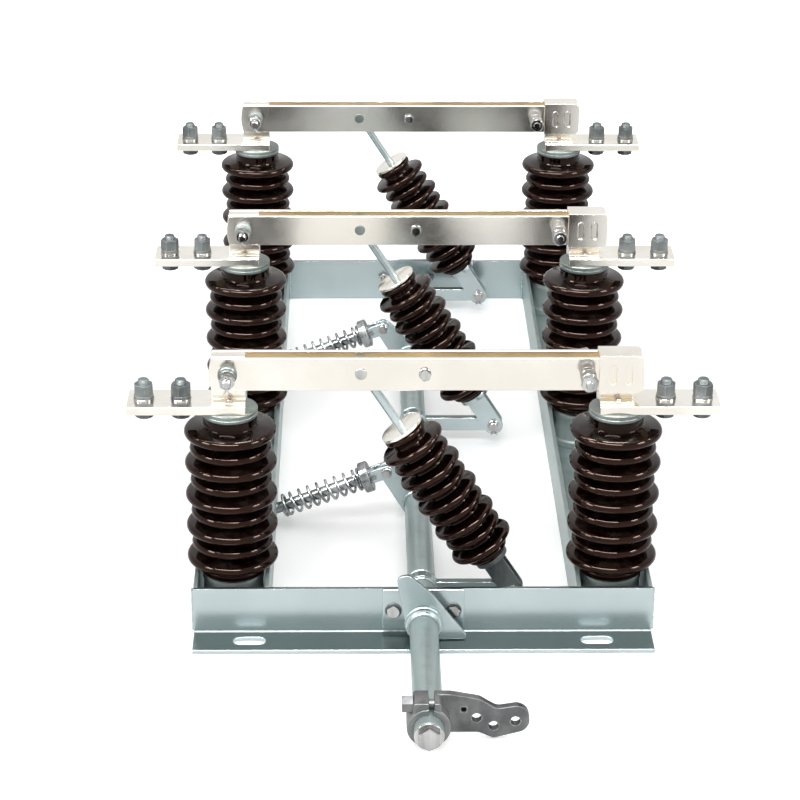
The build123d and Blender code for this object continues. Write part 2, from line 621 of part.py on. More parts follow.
def coil_spring(y):
    """The compression spring around one guide rod."""
    start = DISC_END + WIRE_RADIUS + COIL_GAP
    height = SPRING_LENGTH - COIL_SEAT - WIRE_RADIUS - COIL_GAP - start
    path = Helix(height / COIL_TURNS, height, COIL_RADIUS)
    wire = Plane(origin=path @ 0, z_dir=path % 0) * Circle(WIRE_RADIUS)
    return along(SPRING_PIN, SPRING_SEAT, y) * Pos(0, 0, start) * sweep(wire, path, is_frenet=True)


# ---- write every node ---------------------------------------------------------------------
def nodes():
    """Each sub-part's name and its shapes."""
    yield "front_angle", [cross_angle(-1)]
    yield "rear_angle", [cross_angle(1)]
    yield "hinge_channel", [hinge_rail()]
    yield "contact_channel", [rail(1)]
    yield "front_bearing", [bearing(-1)]
    yield "rear_bearing", [bearing(1)]
    yield "hinge_posts", posts(-1)
    yield "contact_posts", posts(1)
    yield "post_bases", post_bases()
    yield "post_caps", post_caps()
    yield "terminal_bolts", terminal_bolts()
    yield "shaft", [shaft()]
    yield "crank_arms", [crank_arm(y) for y in POLES]
    yield "spring_levers", [spring_lever(y) for y in BAYS]
    yield "stop_plate", [stop_plate()]
    yield "operating_lever", [operating_lever()]
    yield "lever_clamp_bolt", [lever_clamp_bolt()]
    for i, y in enumerate(POLES, start=1):
        yield f"hinge_terminal_{i}", [hinge_terminal(y)]
        yield f"contact_terminal_{i}", [contact_terminal(y)]
        yield f"blade_{i}", [blade(y)]
        yield f"blade_cover_{i}", [blade_cover(y)]
        yield f"blade_bolts_{i}", blade_bolts(y)
        yield f"pull_insulator_{i}", [pull_insulator(y)]
        yield f"pull_fittings_{i}", [eye_rod(y), crank_fork(y)]
    for i, y in enumerate(BAYS, start=1):
        yield f"spring_rod_{i}", [spring_rod(y)]
        yield f"coil_spring_{i}", [coil_spring(y)]


os.makedirs("parts", exist_ok=True)
for name, shapes in nodes():
    solids = [solid for shape in shapes for solid in shape.solids()]
    export_step(Compound(children=solids) if len(solids) > 1 else solids[0], f"parts/{name}.step")
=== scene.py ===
"""A three-pole outdoor disconnect switch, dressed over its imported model.

Sizes are in metres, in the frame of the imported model: X runs from the hinge posts to the contact
posts, Y along the operating shaft away from its lever, and Z is up. The blades are closed.
"""
import json
import logging
import math
from collections.abc import Callable, Sequence
from dataclasses import dataclass
from enum import Enum
from typing import ClassVar

import bmesh
import bpy
from mathutils import Matrix, Vector


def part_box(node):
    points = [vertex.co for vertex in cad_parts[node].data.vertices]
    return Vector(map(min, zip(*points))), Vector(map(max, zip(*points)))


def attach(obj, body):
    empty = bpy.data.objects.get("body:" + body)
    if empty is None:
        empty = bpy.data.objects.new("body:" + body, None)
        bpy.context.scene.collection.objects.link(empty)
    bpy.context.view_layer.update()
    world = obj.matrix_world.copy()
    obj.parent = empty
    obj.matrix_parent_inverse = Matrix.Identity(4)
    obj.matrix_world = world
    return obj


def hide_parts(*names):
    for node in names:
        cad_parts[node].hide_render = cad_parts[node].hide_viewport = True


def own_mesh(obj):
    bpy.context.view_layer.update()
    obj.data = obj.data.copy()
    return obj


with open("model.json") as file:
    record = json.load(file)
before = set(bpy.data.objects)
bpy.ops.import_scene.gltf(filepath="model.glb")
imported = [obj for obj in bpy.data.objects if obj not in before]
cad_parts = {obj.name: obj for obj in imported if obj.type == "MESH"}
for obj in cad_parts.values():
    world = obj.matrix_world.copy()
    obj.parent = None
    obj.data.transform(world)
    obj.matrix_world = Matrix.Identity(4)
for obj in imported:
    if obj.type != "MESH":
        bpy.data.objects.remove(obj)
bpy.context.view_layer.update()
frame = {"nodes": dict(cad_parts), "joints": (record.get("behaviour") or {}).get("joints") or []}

LOG = logging.getLogger("disconnect_switch")
MM = 0.001
UP = Vector((0, 0, 1))
FRONT = Vector((0, -1, 0))
POLES = (1, 2, 3)
BAYS = (1, 2)
SIDES = (-1, 1)
MERGED_WITHIN = 0.002 * MM
FLAT_WITHIN = math.radians(0.5)
CREASED_FROM = math.radians(28)
ROUNDED_FROM = math.radians(32)
Pair = tuple[float, float]
Triple = tuple[float, float, float]
Profile = Sequence[Pair]
Colour = tuple[float, float, float, float]
Points = Sequence[Vector]
Node = bpy.types.Node
Socket = bpy.types.NodeSocket
WHITE = (1.0, 1.0, 1.0, 1.0)


class Slot(Enum):
    """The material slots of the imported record."""

    GALVANISED = "galvanised"
    PORCELAIN = "porcelain"
    BASE = "base_casting"
    CAP = "cap_metal"
    DARK_BOLTS = "dark_bolts"
    BRIGHT_BOLTS = "bright_bolts"
    CAST_LEVER = "cast_lever"
    TINNED = "tinned_copper"
    SPRING = "spring_steel"


class End(Enum):
    """The two ends of a pole, with the way each faces along X."""

    HINGE = -1
    CONTACT = 1

    @property
    def label(self) -> str:
        """The end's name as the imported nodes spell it."""
        return self.name.lower()


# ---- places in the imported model
def middle(node: str) -> Vector:
    """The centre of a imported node's box."""
    low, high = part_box(node)
    return (low + high) / 2


def pivot(joint: str) -> Vector:
    """The point that a joint turns about."""
    return Vector(next(j["pos_m"] for j in frame["joints"] if j["name"] == joint))


def both_sides(centre: Vector, out: float) -> list[Matrix]:
    """The places this far behind and in front of a point, each facing away from it."""
    return [placed(centre + FRONT * side * out, FRONT * side) for side in SIDES]


def pole_depth(pole: int) -> float:
    """Where a pole stands along Y."""
    return pivot(f"blade_{pole}_swing").y


def placed(base: Vector, axis: Vector) -> Matrix:
    """A place whose origin is a base point and whose Z runs along an axis.

    Args:
        base: the origin.
        axis: the way that Z points.

    Returns:
        The place as a matrix.
    """
    return Matrix.Translation(base) @ axis.to_track_quat("Z", "Y").to_matrix().to_4x4()


def spoke(place: Matrix, radius: float, turn: float, height: float) -> Vector:
    """A point of a place, at a radius, an angle in radians and a height."""
    return place @ Vector((radius * math.cos(turn), radius * math.sin(turn), height))


def in_mm(*points: Pair) -> list[Pair]:
    """The points of a profile whose radii and heights are given in millimetres."""
    return [(radius * MM, height * MM) for radius, height in points]


def shown(name: str, data: bpy.types.ID) -> bpy.types.Object:
    """A new object in the scene that shows a mesh, a light or a camera.

    Args:
        name: the object's name.
        data: the mesh, light or camera.

    Returns:
        The object.
    """
    made = bpy.data.objects.new(name, data)
    bpy.context.scene.collection.objects.link(made)
    return made


def tint(code: str) -> Colour:
    """A colour written as six hexadecimal digits, as the shaders want it.

    Args:
        code: red, green and blue, two digits each.

    Returns:
        The linear colour with full opacity.
    """
    parts = [int(code[i:i + 2], 16) / 255 for i in (0, 2, 4)]
    linear = [p / 12.92 if p <= 0.04045 else ((p + 0.055) / 1.055) ** 2.4 for p in parts]
    return (*linear, 1.0)


# ---- shader graphs
class Graph:
    """Adds nodes to one shader tree and joins them."""

    def __init__(self, tree: bpy.types.NodeTree) -> None:
        """Starts on a tree, which keeps what it already holds."""
        self.tree = tree

    def add(self, kind: str, *values: object, **settings: object) -> Node:
        """Adds one node.

        Args:
            kind: the node's type name.
            values: a value or a socket for each of its first inputs, in order.
            settings: attributes to set on it.

        Returns:
            The new node.
        """
        node = self.tree.nodes.new(kind)
        for key, value in settings.items():
            setattr(node, key, value)
        for socket, value in zip(node.inputs, values):
            self.feed(socket, value)
        return node

    def feed(self, socket: Socket, value: object) -> None:
        """Joins a socket to another one, or sets its own value.

        Args:
            socket: the input.
            value: another socket, or a value.
        """
        if isinstance(value, Socket):
            self.tree.links.new(value, socket)
        else:
            socket.default_value = value

    def fill(self, node: Node, **inputs: object) -> Node:
        """Feeds a node's inputs by name.

        Args:
            node: the node.
            inputs: a value or a socket for each, named in small letters with underscores.

        Returns:
            The same node.
        """
        sockets = {socket.name.lower().replace(" ", "_"): socket for socket in node.inputs}
        for name, value in inputs.items():
            self.feed(sockets[name], value)
        return node

    def call(self, group: bpy.types.NodeTree, **inputs: object) -> Node:
        """Places a node group and feeds its inputs by name."""
        return self.fill(self.add("ShaderNodeGroup", node_tree=group), **inputs)

    def calc(self, operation: str, *values: object) -> Socket:
        """One step of arithmetic on numbers or sockets."""
        return self.add("ShaderNodeMath", *values, operation=operation).outputs[0]

    def spread(self, value: object, low: object, high: object) -> Socket:
        """A value from 0 to 1, stretched to run from low to high."""
        return self.add("ShaderNodeMapRange", value, 0.0, 1.0, low, high, clamp=True).outputs[0]

    def step(self, value: object, start: object, end: object) -> Socket:
        """A soft step: 0 below start, 1 above end."""
        kind = {"clamp": True, "interpolation_type": "SMOOTHSTEP"}
        return self.add("ShaderNodeMapRange", value, start, end, 0.0, 1.0, **kind).outputs[0]

    def mix(self, factor: object, first: object, second: object) -> Socket:
        """A mix of two colours; factor 0 gives the first.

        Args:
            factor: how much of the second colour.
            first: the first colour.
            second: the second colour.

        Returns:
            The mixed colour's socket.
        """
        node = self.add("ShaderNodeMix", factor, data_type="RGBA")
        self.feed(node.inputs[6], first)
        self.feed(node.inputs[7], second)
        return node.outputs[2]

    def place(self, stretch: object = None) -> Socket:
        """The surface's own place, stretched along each axis where a stretch is given.

        Args:
            stretch: a factor for each axis, or nothing.

        Returns:
            The place's socket.
        """
        here = self.add("ShaderNodeTexCoord").outputs["Object"]
        if stretch is None:
            return here
        return self.add("ShaderNodeVectorMath", here, stretch, operation="MULTIPLY").outputs[0]

    def noise(self, place: object, scale: object, detail: float = 3.0, rough: float = 0.55) -> Socket:
        """Cloudy noise.

        Args:
            place: where it is read.
            scale: lumps to the metre.
            detail: how many finer layers it has.
            rough: how strong the finer layers are.

        Returns:
            The noise, from 0 to 1.
        """
        node = self.add("ShaderNodeTexNoise")
        return self.fill(node, vector=place, scale=scale, detail=detail, roughness=rough).outputs[0]

    def bump(self, strength: float, depth: float, height: Socket) -> Socket:
        """A normal bent by a height, which is worth up to a depth in metres."""
        node = self.add("ShaderNodeBump")
        return self.fill(node, strength=strength, distance=depth, height=height).outputs[0]


class Effects:
    """The surface effects that several finishes share, each a node group built once."""

    def __init__(self) -> None:
        """Builds every group."""
        group = self.group
        self.edge_wear = group("edge wear", {"Width": 1 * MM, "Break up": 300.0}, ("Mask",), self.draw_wear)
        marks = ("Patches", "Specks")
        self.mottle = group("mottle", {"Scale": 60.0, "Streak": 6.0}, marks, self.draw_mottle)
        self.grain = group("drawn grain", {"Along": 4.0, "Across": 900.0}, ("Lines",), self.draw_grain)
        # Up-facing patches: a dusty pale tone on some finishes, a painted dark reflection on the zinc.
        self.dust = group("settled dust", {"Scale": 40.0, "Cover": 0.35}, ("Mask",), self.draw_dust)
        self.skin = group("cast skin", {"Scale": 500.0}, ("Height",), self.draw_skin)
        # Shut-in places, where the tinned copper takes a painted reflection.
        self.hollows = group("shut-in places", {"Depth": 40 * MM}, ("Mask",), self.draw_hollows)

    @staticmethod
    def group(
        name: str,
        inputs: dict[str, float],
        outputs: Sequence[str],
        draw: Callable[[Graph, Node], list[Socket]],
    ) -> bpy.types.NodeTree:
        """Makes one node group.

        Args:
            name: the group's name.
            inputs: its number inputs and their usual values.
            outputs: its number outputs.
            draw: fills it from its input node, and gives what goes to each output.

        Returns:
            The group's tree.
        """
        tree = bpy.data.node_groups.new(name, "ShaderNodeTree")
        for label, value in inputs.items():
            socket = tree.interface.new_socket(label, in_out="INPUT", socket_type="NodeSocketFloat")
            socket.default_value = value
        for label in outputs:
            tree.interface.new_socket(label, in_out="OUTPUT", socket_type="NodeSocketFloat")
        graph = Graph(tree)
        graph.add("NodeGroupOutput", *draw(graph, graph.add("NodeGroupInput")))
        return tree

    @staticmethod
    def draw_wear(graph: Graph, given: Node) -> list[Socket]:
        """Rubbed edges: where a rounded normal leaves the true one, broken up by noise.

        Args:
            graph: the group's graph.
            given: the group's input node.

        Returns:
            What goes to the group's outputs.
        """
        rounded = graph.fill(graph.add("ShaderNodeBevel", samples=4), radius=given.outputs["Width"])
        true = graph.add("ShaderNodeNewGeometry").outputs["Normal"]
        meet = graph.add("ShaderNodeVectorMath", rounded.outputs[0], true, operation="DOT_PRODUCT")
        edge = graph.calc("SUBTRACT", 1.0, meet.outputs["Value"])
        patchy = graph.noise(graph.place(), given.outputs["Break up"])
        return [graph.calc("MULTIPLY", graph.step(edge, 0.01, 0.12), graph.step(patchy, 0.35, 0.6))]

    @staticmethod
    def draw_mottle(graph: Graph, given: Node) -> list[Socket]:
        """Cloudy patches that run down a little, and small flat crystals.

        Args:
            graph: the group's graph.
            given: the group's input node.

        Returns:
            What goes to the group's outputs.
        """
        scale = given.outputs["Scale"]
        run = graph.add("ShaderNodeCombineXYZ", 1.0, 1.0, graph.calc("DIVIDE", 1.0, given.outputs["Streak"]))
        clouds = graph.noise(graph.place(run.outputs[0]), graph.calc("MULTIPLY", scale, 0.25), 4.0)
        crystals = graph.add("ShaderNodeTexVoronoi", feature="F1")
        graph.fill(crystals, vector=graph.place(), scale=scale)
        tone = graph.add("ShaderNodeSeparateColor", crystals.outputs["Color"])
        return [graph.step(clouds, 0.34, 0.68), tone.outputs[0]]

    @staticmethod
    def draw_grain(graph: Graph, given: Node) -> list[Socket]:
        """Fine lines along X, as rolling or brushing leaves.

        Args:
            graph: the group's graph.
            given: the group's input node.

        Returns:
            What goes to the group's outputs.
        """
        across = given.outputs["Across"]
        run = graph.add("ShaderNodeCombineXYZ", given.outputs["Along"], across, across)
        return [graph.noise(graph.place(run.outputs[0]), 1.0, 2.0, 0.6)]

    @staticmethod
    def draw_dust(graph: Graph, given: Node) -> list[Socket]:
        """A patchy mask on what faces up: a dusty pale tone on some finishes, a painted dark reflection on
        the zinc.

        Args:
            graph: the group's graph.
            given: the group's input node.

        Returns:
            What goes to the group's outputs.
        """
        normal = graph.add("ShaderNodeNewGeometry").outputs["Normal"]
        up = graph.add("ShaderNodeSeparateXYZ", normal).outputs[2]
        bare = graph.calc("SUBTRACT", 0.75, given.outputs["Cover"])
        clouds = graph.noise(graph.place(), given.outputs["Scale"], 5.0)
        patches = graph.step(clouds, bare, graph.calc("ADD", bare, 0.35))
        return [graph.calc("MULTIPLY", graph.step(up, 0.88, 0.99), patches)]

    @staticmethod
    def draw_hollows(graph: Graph, given: Node) -> list[Socket]:
        """Places that other faces shut in, where a tan painted reflection stands for light bounced between
        them.

        Args:
            graph: the group's graph.
            given: the group's input node.

        Returns:
            What goes to the group's outputs.
        """
        open_sky = graph.add("ShaderNodeAmbientOcclusion", samples=8)
        graph.fill(open_sky, distance=given.outputs["Depth"])
        return [graph.step(graph.calc("SUBTRACT", 1.0, open_sky.outputs["AO"]), 0.5, 0.7)]

    @staticmethod
    def draw_skin(graph: Graph, given: Node) -> list[Socket]:
        """The fine uneven skin of a casting or a dipped coat.

        Args:
            graph: the group's graph.
            given: the group's input node.

        Returns:
            What goes to the group's outputs.
        """
        scale = given.outputs["Scale"]
        coarse = graph.noise(graph.place(), graph.calc("MULTIPLY", scale, 0.18), 2.0)
        fine = graph.noise(graph.place(), scale, 4.0, 0.6)
        return [graph.calc("ADD", coarse, graph.calc("MULTIPLY", fine, 0.45))]


# ---- finishes
def blank_material(name: str) -> tuple[bpy.types.Material, Graph, Node]:
    """A material with one Principled shader.

    Args:
        name: the material's name.

    Returns:
        The material, its graph and its shader.
    """
    material = bpy.data.materials.new(name)
    material.use_nodes = True
    graph = Graph(material.node_tree)
    shader = next(n for n in material.node_tree.nodes if n.type == "BSDF_PRINCIPLED")
    return material, graph, shader


@dataclass(frozen=True)
class MetalFinish:
    """A metal surface: its colours, its gloss, how it is marked and worn, and the painted shade and light
    laid on it.
    """

    name: str
    pale: str
    deep: str
    edge: str
    metallic: float
    roughness: Pair
    mottle: float
    streak: float = 6.0
    speck: float = 0.0
    speck_tone: float = 0.12
    wear_width: float = 1.2 * MM
    grain: float = 0.0
    skin: float = 500.0
    skin_depth: float = 0.1 * MM
    # The next three fields lay a tone on up-facing patches: a dusty pale one on some finishes, a painted
    # dark reflection on the zinc.
    dirt: float = 0.0
    dirt_tone: str = "b9b2a6"
    dirt_cover: float = 0.35
    shade: float = 0.0
    shade_tone: str = "2a2a2a"
    # The next two fields lay a tan painted reflection in shut-in places, for light bounced between faces,
    # and lower the metal sheen there.
    film: str = ""
    film_metallic: float = 0.3
    bump: float = 0.35

    def material(self, effects: Effects) -> bpy.types.Material:
        """Builds the finish.

        Args:
            effects: the shared node groups.

        Returns:
            The material.
        """
        material, graph, shader = blank_material(self.name)
        marks = graph.call(effects.mottle, scale=self.mottle, streak=self.streak).outputs
        colour = graph.mix(marks["Patches"], tint(self.deep), tint(self.pale))
        gloss = marks["Patches"]
        if self.speck:
            crystals = graph.calc("MULTIPLY", marks["Specks"], self.speck_tone)
            colour = graph.mix(crystals, colour, tint(self.edge))
            gloss = graph.calc("MULTIPLY_ADD", marks["Specks"], self.speck, gloss)
        wear = graph.call(effects.edge_wear, width=self.wear_width).outputs["Mask"]
        colour = graph.mix(wear, colour, tint(self.edge))
        height = graph.call(effects.skin, scale=self.skin).outputs["Height"]
        if self.grain:
            lines = graph.call(effects.grain).outputs["Lines"]
            strength = graph.calc("MULTIPLY", lines, self.grain)
            colour = graph.mix(strength, colour, tint(self.deep))
            gloss = graph.calc("ADD", gloss, strength)
            height = graph.calc("ADD", height, lines)
        # Up-facing patches take a tone: a dusty pale one on some finishes, a painted dark reflection on the
        # zinc.
        if self.dirt:
            upward_patches = graph.call(effects.dust, cover=self.dirt_cover).outputs["Mask"]
            film = graph.calc("MULTIPLY", upward_patches, self.dirt)
            colour = graph.mix(film, colour, tint(self.dirt_tone))
            gloss = graph.calc("ADD", gloss, film)
        if self.shade:
            facing = graph.add("ShaderNodeLayerWeight").outputs["Facing"]
            colour = graph.mix(graph.calc("MULTIPLY", facing, self.shade), colour, tint(self.shade_tone))
        metallic = self.metallic
        # Shut-in places take a tan painted reflection, for light bounced between faces, with less metal
        # sheen.
        if self.film:
            shut = graph.call(effects.hollows).outputs["Mask"]
            colour = graph.mix(shut, colour, tint(self.film))
            metallic = graph.spread(shut, self.metallic, self.film_metallic)
        graph.fill(
            shader, base_color=colour, metallic=metallic, roughness=graph.spread(gloss, *self.roughness),
            normal=graph.bump(self.bump, self.skin_depth, height))
        return material


@dataclass(frozen=True)
class GlazeFinish:
    """Brown porcelain glaze, darkened towards the core between the sheds by painted shade and lightened at
    each rim by painted light.
    """

    name: str = "brown_glaze"
    # The next colour is painted shade towards the core; the one after the body colour is painted light at
    # the rims.
    core_shade: str = "040101"
    body: str = "0d0403"
    rim_light: str = "281209"
    cloud: str = "241009"
    dust: str = "a08c80"
    roughness: Pair = (0.04, 0.07)
    index: float = 1.55
    mirror: float = 0.19
    mirror_tint: Colour = (1.0, 0.72, 0.62, 1.0)
    ripple: float = 18.0
    ripple_depth: float = 0.02 * MM
    bump: float = 0.25

    def material(self, effects: Effects) -> bpy.types.Material:
        """Builds the glaze.

        Args:
            effects: the shared node groups.

        Returns:
            The material.
        """
        material, graph, shader = blank_material(self.name)
        reach = graph.add("ShaderNodeAttribute", attribute_name="rim").outputs["Fac"]
        clouds = graph.call(effects.mottle, scale=90.0, streak=2.0).outputs["Patches"]
        # Painted shade darkens the glaze towards the core between the sheds, and painted light lightens the
        # outer edge of each rim.
        depth = graph.mix(graph.step(reach, 0.1, 0.8), tint(self.core_shade), tint(self.body))
        depth = graph.mix(graph.calc("MULTIPLY", clouds, 0.25), depth, tint(self.cloud))
        rim_light = graph.step(reach, 0.84, 1.0)
        colour = graph.mix(graph.calc("MULTIPLY", rim_light, 0.5), depth, tint(self.rim_light))
        upward_patches = graph.call(effects.dust, scale=60.0).outputs["Mask"]
        colour = graph.mix(graph.calc("MULTIPLY", upward_patches, 0.05), colour, tint(self.dust))
        ripple = graph.noise(graph.place(), self.ripple, 2.0)
        graph.fill(
            shader, base_color=colour, roughness=graph.spread(clouds, *self.roughness), ior=self.index,
            specular_ior_level=self.mirror, specular_tint=self.mirror_tint,
            normal=graph.bump(self.bump, self.ripple_depth, ripple))
        return material


FINISHES: dict[Slot, MetalFinish | GlazeFinish] = {
    Slot.PORCELAIN: GlazeFinish(),
    # On the zinc the dark tone laid on up-facing faces is a painted dark reflection.
    Slot.GALVANISED: MetalFinish(
        "galvanised_steel", pale="bfcbcd", deep="b9c5c7", edge="dbe2e2", metallic=0.78,
        roughness=(0.23, 0.24), mottle=60.0, streak=1.5, speck=0.12, speck_tone=0.04, skin=90.0,
        skin_depth=0.05 * MM, dirt=0.95, dirt_tone="5c6866", dirt_cover=0.75),
    Slot.BASE: MetalFinish(
        "base_casting", pale="a3adab", deep="858f8e", edge="bcc4c2", metallic=0.4,
        roughness=(0.5, 0.7), mottle=60.0, skin=700.0, skin_depth=0.3 * MM, dirt=0.25),
    Slot.CAP: MetalFinish(
        "cap_metal", pale="878f8c", deep="68706e", edge="bfc5c2", metallic=0.7,
        roughness=(0.36, 0.52), mottle=80.0, skin=400.0),
    Slot.DARK_BOLTS: MetalFinish(
        "dark_zinc", pale="6c7172", deep="484d4e", edge="969b9b", metallic=0.6,
        roughness=(0.38, 0.58), mottle=150.0, speck=0.2, skin=900.0),
    Slot.BRIGHT_BOLTS: MetalFinish(
        "bright_plate", pale="d0d0cf", deep="9c9b99", edge="f0efed", metallic=1.0,
        roughness=(0.1, 0.22), mottle=180.0, skin=900.0, skin_depth=0.05 * MM, shade=0.55),
    Slot.CAST_LEVER: MetalFinish(
        "cast_lever", pale="868787", deep="5a5b5c", edge="acadad", metallic=0.65,
        roughness=(0.3, 0.46), mottle=90.0, streak=1.5, skin=450.0, skin_depth=0.3 * MM, shade=0.3),
    # On the tinned copper the tan in shut-in places is a painted reflection of light bounced between the
    # bars.
    Slot.TINNED: MetalFinish(
        "tinned_copper", pale="eeebe4", deep="e2ddd3", edge="d8cbb2", metallic=1.0,
        roughness=(0.12, 0.22), mottle=30.0, streak=1.0, wear_width=0.5 * MM, grain=0.06, skin=35.0,
        skin_depth=0.03 * MM, film="e8d6b4"),
    Slot.SPRING: MetalFinish(
        "spring_steel", pale="c0c3c3", deep="868a8b", edge="ececec", metallic=0.9,
        roughness=(0.18, 0.32), mottle=150.0, skin=800.0, shade=0.35),
}

# Its dark tone on up-facing faces is a painted dark reflection too.
DULL_ZINC = MetalFinish(
    "dull_zinc", pale="9fadac", deep="98a6a5", edge="d5dcdc", metallic=0.4, roughness=(0.32, 0.33),
    mottle=60.0, streak=1.5, skin=90.0, skin_depth=0.05 * MM, dirt=0.3, dirt_tone="5c6866")
DULL_PIECES = (
    "shaft_pipe", "shaft_welds", "hinge_channel_dressed", "contact_channel_dressed", "angle_root_fillets")


# ---- shapes
class Shape:
    """Gathers turned, hexagonal, threaded, swept and copied forms into one mesh."""

    def __init__(self) -> None:
        """Starts with nothing in it."""
        self.mesh = bmesh.new()
        self.rim = self.mesh.verts.layers.float.new("rim")
        self.flat = False

    @classmethod
    def of_node(cls, node: str) -> "Shape":
        """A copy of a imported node, its flat faces joined up so that its edges can be rounded.

        Args:
            node: the node's name.

        Returns:
            The copy.
        """
        shape = cls()
        shape.mesh.from_mesh(frame["nodes"][node].data)
        shape.rim = shape.mesh.verts.layers.float.get("rim") or shape.mesh.verts.layers.float.new("rim")
        bmesh.ops.remove_doubles(shape.mesh, verts=shape.mesh.verts, dist=MERGED_WITHIN)
        bmesh.ops.dissolve_limit(
            shape.mesh, angle_limit=FLAT_WITHIN, verts=shape.mesh.verts, edges=shape.mesh.edges)
        return shape

    def skin(self, rings: Sequence[Points], closed: bool = False) -> list[list[bmesh.types.BMVert]]:
        """Joins rings of equal count.

        Args:
            rings: the rings in order.
            closed: whether the last ring joins the first; otherwise both ends are capped.

        Returns:
            The new vertices, ring by ring.
        """
        loops = [[self.mesh.verts.new(point) for point in ring] for ring in rings]
        following = loops[1:] + loops[:1] if closed else loops[1:]
        for lower, upper in zip(loops, following):
            self.band(lower, upper)
        if not closed:
            self.mesh.faces.new(list(reversed(loops[0])))
            self.mesh.faces.new(loops[-1])
        return loops

    def turn(
        self,
        place: Matrix,
        profile: Profile,
        sides: int = 48,
        hollow: bool = False,
        reach: Sequence[float] = (),
    ) -> None:
        """Turns a profile round the place's Z.

        Args:
            place: where it stands.
            profile: radius and height of each point, from the bottom up.
            sides: how many sides a ring has.
            hollow: whether the profile closes on itself, as a washer's does.
            reach: how near each point is to a rim, from 0 to 1, for the glaze.
        """
        rings = [[spoke(place, r, a, z) for a in circle(sides)] for r, z in profile]
        loops = self.skin(rings, hollow)
        for near, loop in zip(reach, loops):
            for vertex in loop:
                vertex[self.rim] = near

    def disc(self, place: Matrix, radius: float, height: float, soft: float) -> None:
        """A round disc or head with rounded edges, its underside at the place's origin.

        Args:
            place: where its underside is.
            radius: its radius.
            height: its height.
            soft: how far its edges are rounded.
        """
        steps = [math.radians(a) for a in (0, 30, 60, 90)]
        lower = [(radius - soft * (1 - math.sin(a)), soft * (1 - math.cos(a))) for a in steps]
        upper = [(r, height - z) for r, z in reversed(lower)]
        self.turn(place, [*lower, *upper])

    def slab(self, outline: Points, way: Vector) -> None:
        """A flat outline made thick.

        Args:
            outline: its corners in order.
            way: the thickness and its direction.
        """
        self.skin([list(outline), [corner + way for corner in outline]])

    def washer(
        self, place: Matrix, bore: float, radius: float, thick: float,
        soft: float = 0.3 * MM, sides: int = 48,
    ) -> Matrix:
        """A flat washer, or another plain ring, with its outer edges broken.

        Args:
            place: where its underside is.
            bore: radius of its hole.
            radius: its own radius.
            thick: its thickness.
            soft: how far its edges are broken, at most a quarter of its thickness.
            sides: how many sides it has.

        Returns:
            The place on top of it.
        """
        soft = min(soft, thick / 4)
        lower = [(bore, 0), (radius - soft, 0), (radius, soft)]
        self.turn(place, [*lower, *((r, thick - z) for r, z in reversed(lower))], sides, hollow=True)
        return place @ Matrix.Translation(UP * thick)

    def hexagon(
        self, place: Matrix, flats: float, height: float, bore: float = 0.0, spin: float = 0.0
    ) -> None:
        """A nut, or a bolt head where it has no bore, its corners chamfered at the top.

        Args:
            place: where its underside's centre is.
            flats: its width across the flats.
            height: its height.
            bore: radius of the hole through it.
            spin: how far it is turned, in degrees.
        """
        land = 0.472 * flats
        angles = circle(48)
        sides = [flats / 2 / math.cos(a % math.radians(60) - math.radians(30)) for a in angles]
        drops = [(side - land) * math.tan(math.radians(30)) for side in sides]

        def ring(radii: Sequence[float], heights: Sequence[float]) -> list[Vector]:
            """One ring of the hexagon, from a radius and a height for each angle."""
            return [spoke(place, r, a + math.radians(spin), z) for r, z, a in zip(radii, heights, angles)]

        count = len(angles)
        rings = [
            ring(sides, [0.0] * count),
            ring(sides, [height - drop for drop in drops]),
            ring([land] * count, [height] * count),
        ]
        if bore:
            rings += [ring([bore] * count, [height] * count), ring([bore] * count, [0.0] * count)]
        self.skin(rings, closed=bool(bore))

    def nut(self, place: Matrix, flats: float, height: float, bolt: Triple, spin: float) -> None:
        """A nut with the end of its bolt through it.

        Args:
            place: where both start.
            flats: the nut's width across the flats.
            height: its height.
            bolt: the bolt's radius, the pitch of its thread and how far it runs.
            spin: how far the nut is turned, in degrees.
        """
        self.hexagon(place, flats, height, bolt[0], spin)
        self.thread(place, *bolt)

    def thread(self, place: Matrix, radius: float, pitch: float, length: float) -> None:
        """A threaded stub with a chamfered end, its start at the place's origin.

        Args:
            place: where it starts and the way it runs.
            radius: its outer radius.
            pitch: one turn of the thread.
            length: how far it runs.
        """
        depth = 0.5 * pitch
        rows = max(4, round(length / pitch * 5))
        angles = circle(24)
        rings = []
        for row in range(rows + 1):
            z = length * row / rows
            ring = []
            for k, a in enumerate(angles):
                phase = (z / pitch - k / len(angles)) % 1.0
                r = min(radius - depth * abs(2 * phase - 1), radius - depth - 0.4 * MM + length - z)
                ring.append(spoke(place, r, a, z))
            rings.append(ring)
        self.skin(rings)

    def sweep(self, path: Points, radii: Sequence[float], sides: int = 12, closed: bool = False) -> None:
        """A round bar along a path.

        Args:
            path: the points it follows.
            radii: its radius at each of them.
            sides: how many sides it has.
            closed: whether it ends where it starts.
        """
        count = len(path)
        ways = []
        for i, here in enumerate(path):
            before = path[i - 1] if i or closed else here
            after = path[(i + 1) % count] if i + 1 < count or closed else here
            ways.append((after - before).normalized())
        side = ways[0].orthogonal().normalized()
        rings = []
        for here, way, radius in zip(path, ways, radii):
            side = (side - way * side.dot(way)).normalized()
            across = way.cross(side)
            outward = [side * math.cos(a) + across * math.sin(a) for a in circle(sides)]
            rings.append([here + out * radius for out in outward])
        self.skin(rings, closed)

    def bead(self, path: Points, radius: float, closed: bool = False) -> None:
        """A weld bead along a path, rippled as a weld is."""
        swell = [1 + 0.16 * math.sin(1.9 * i) + 0.08 * math.sin(0.7 * i + 1) for i in range(len(path))]
        self.sweep(path, [radius * share for share in swell], 10, closed)

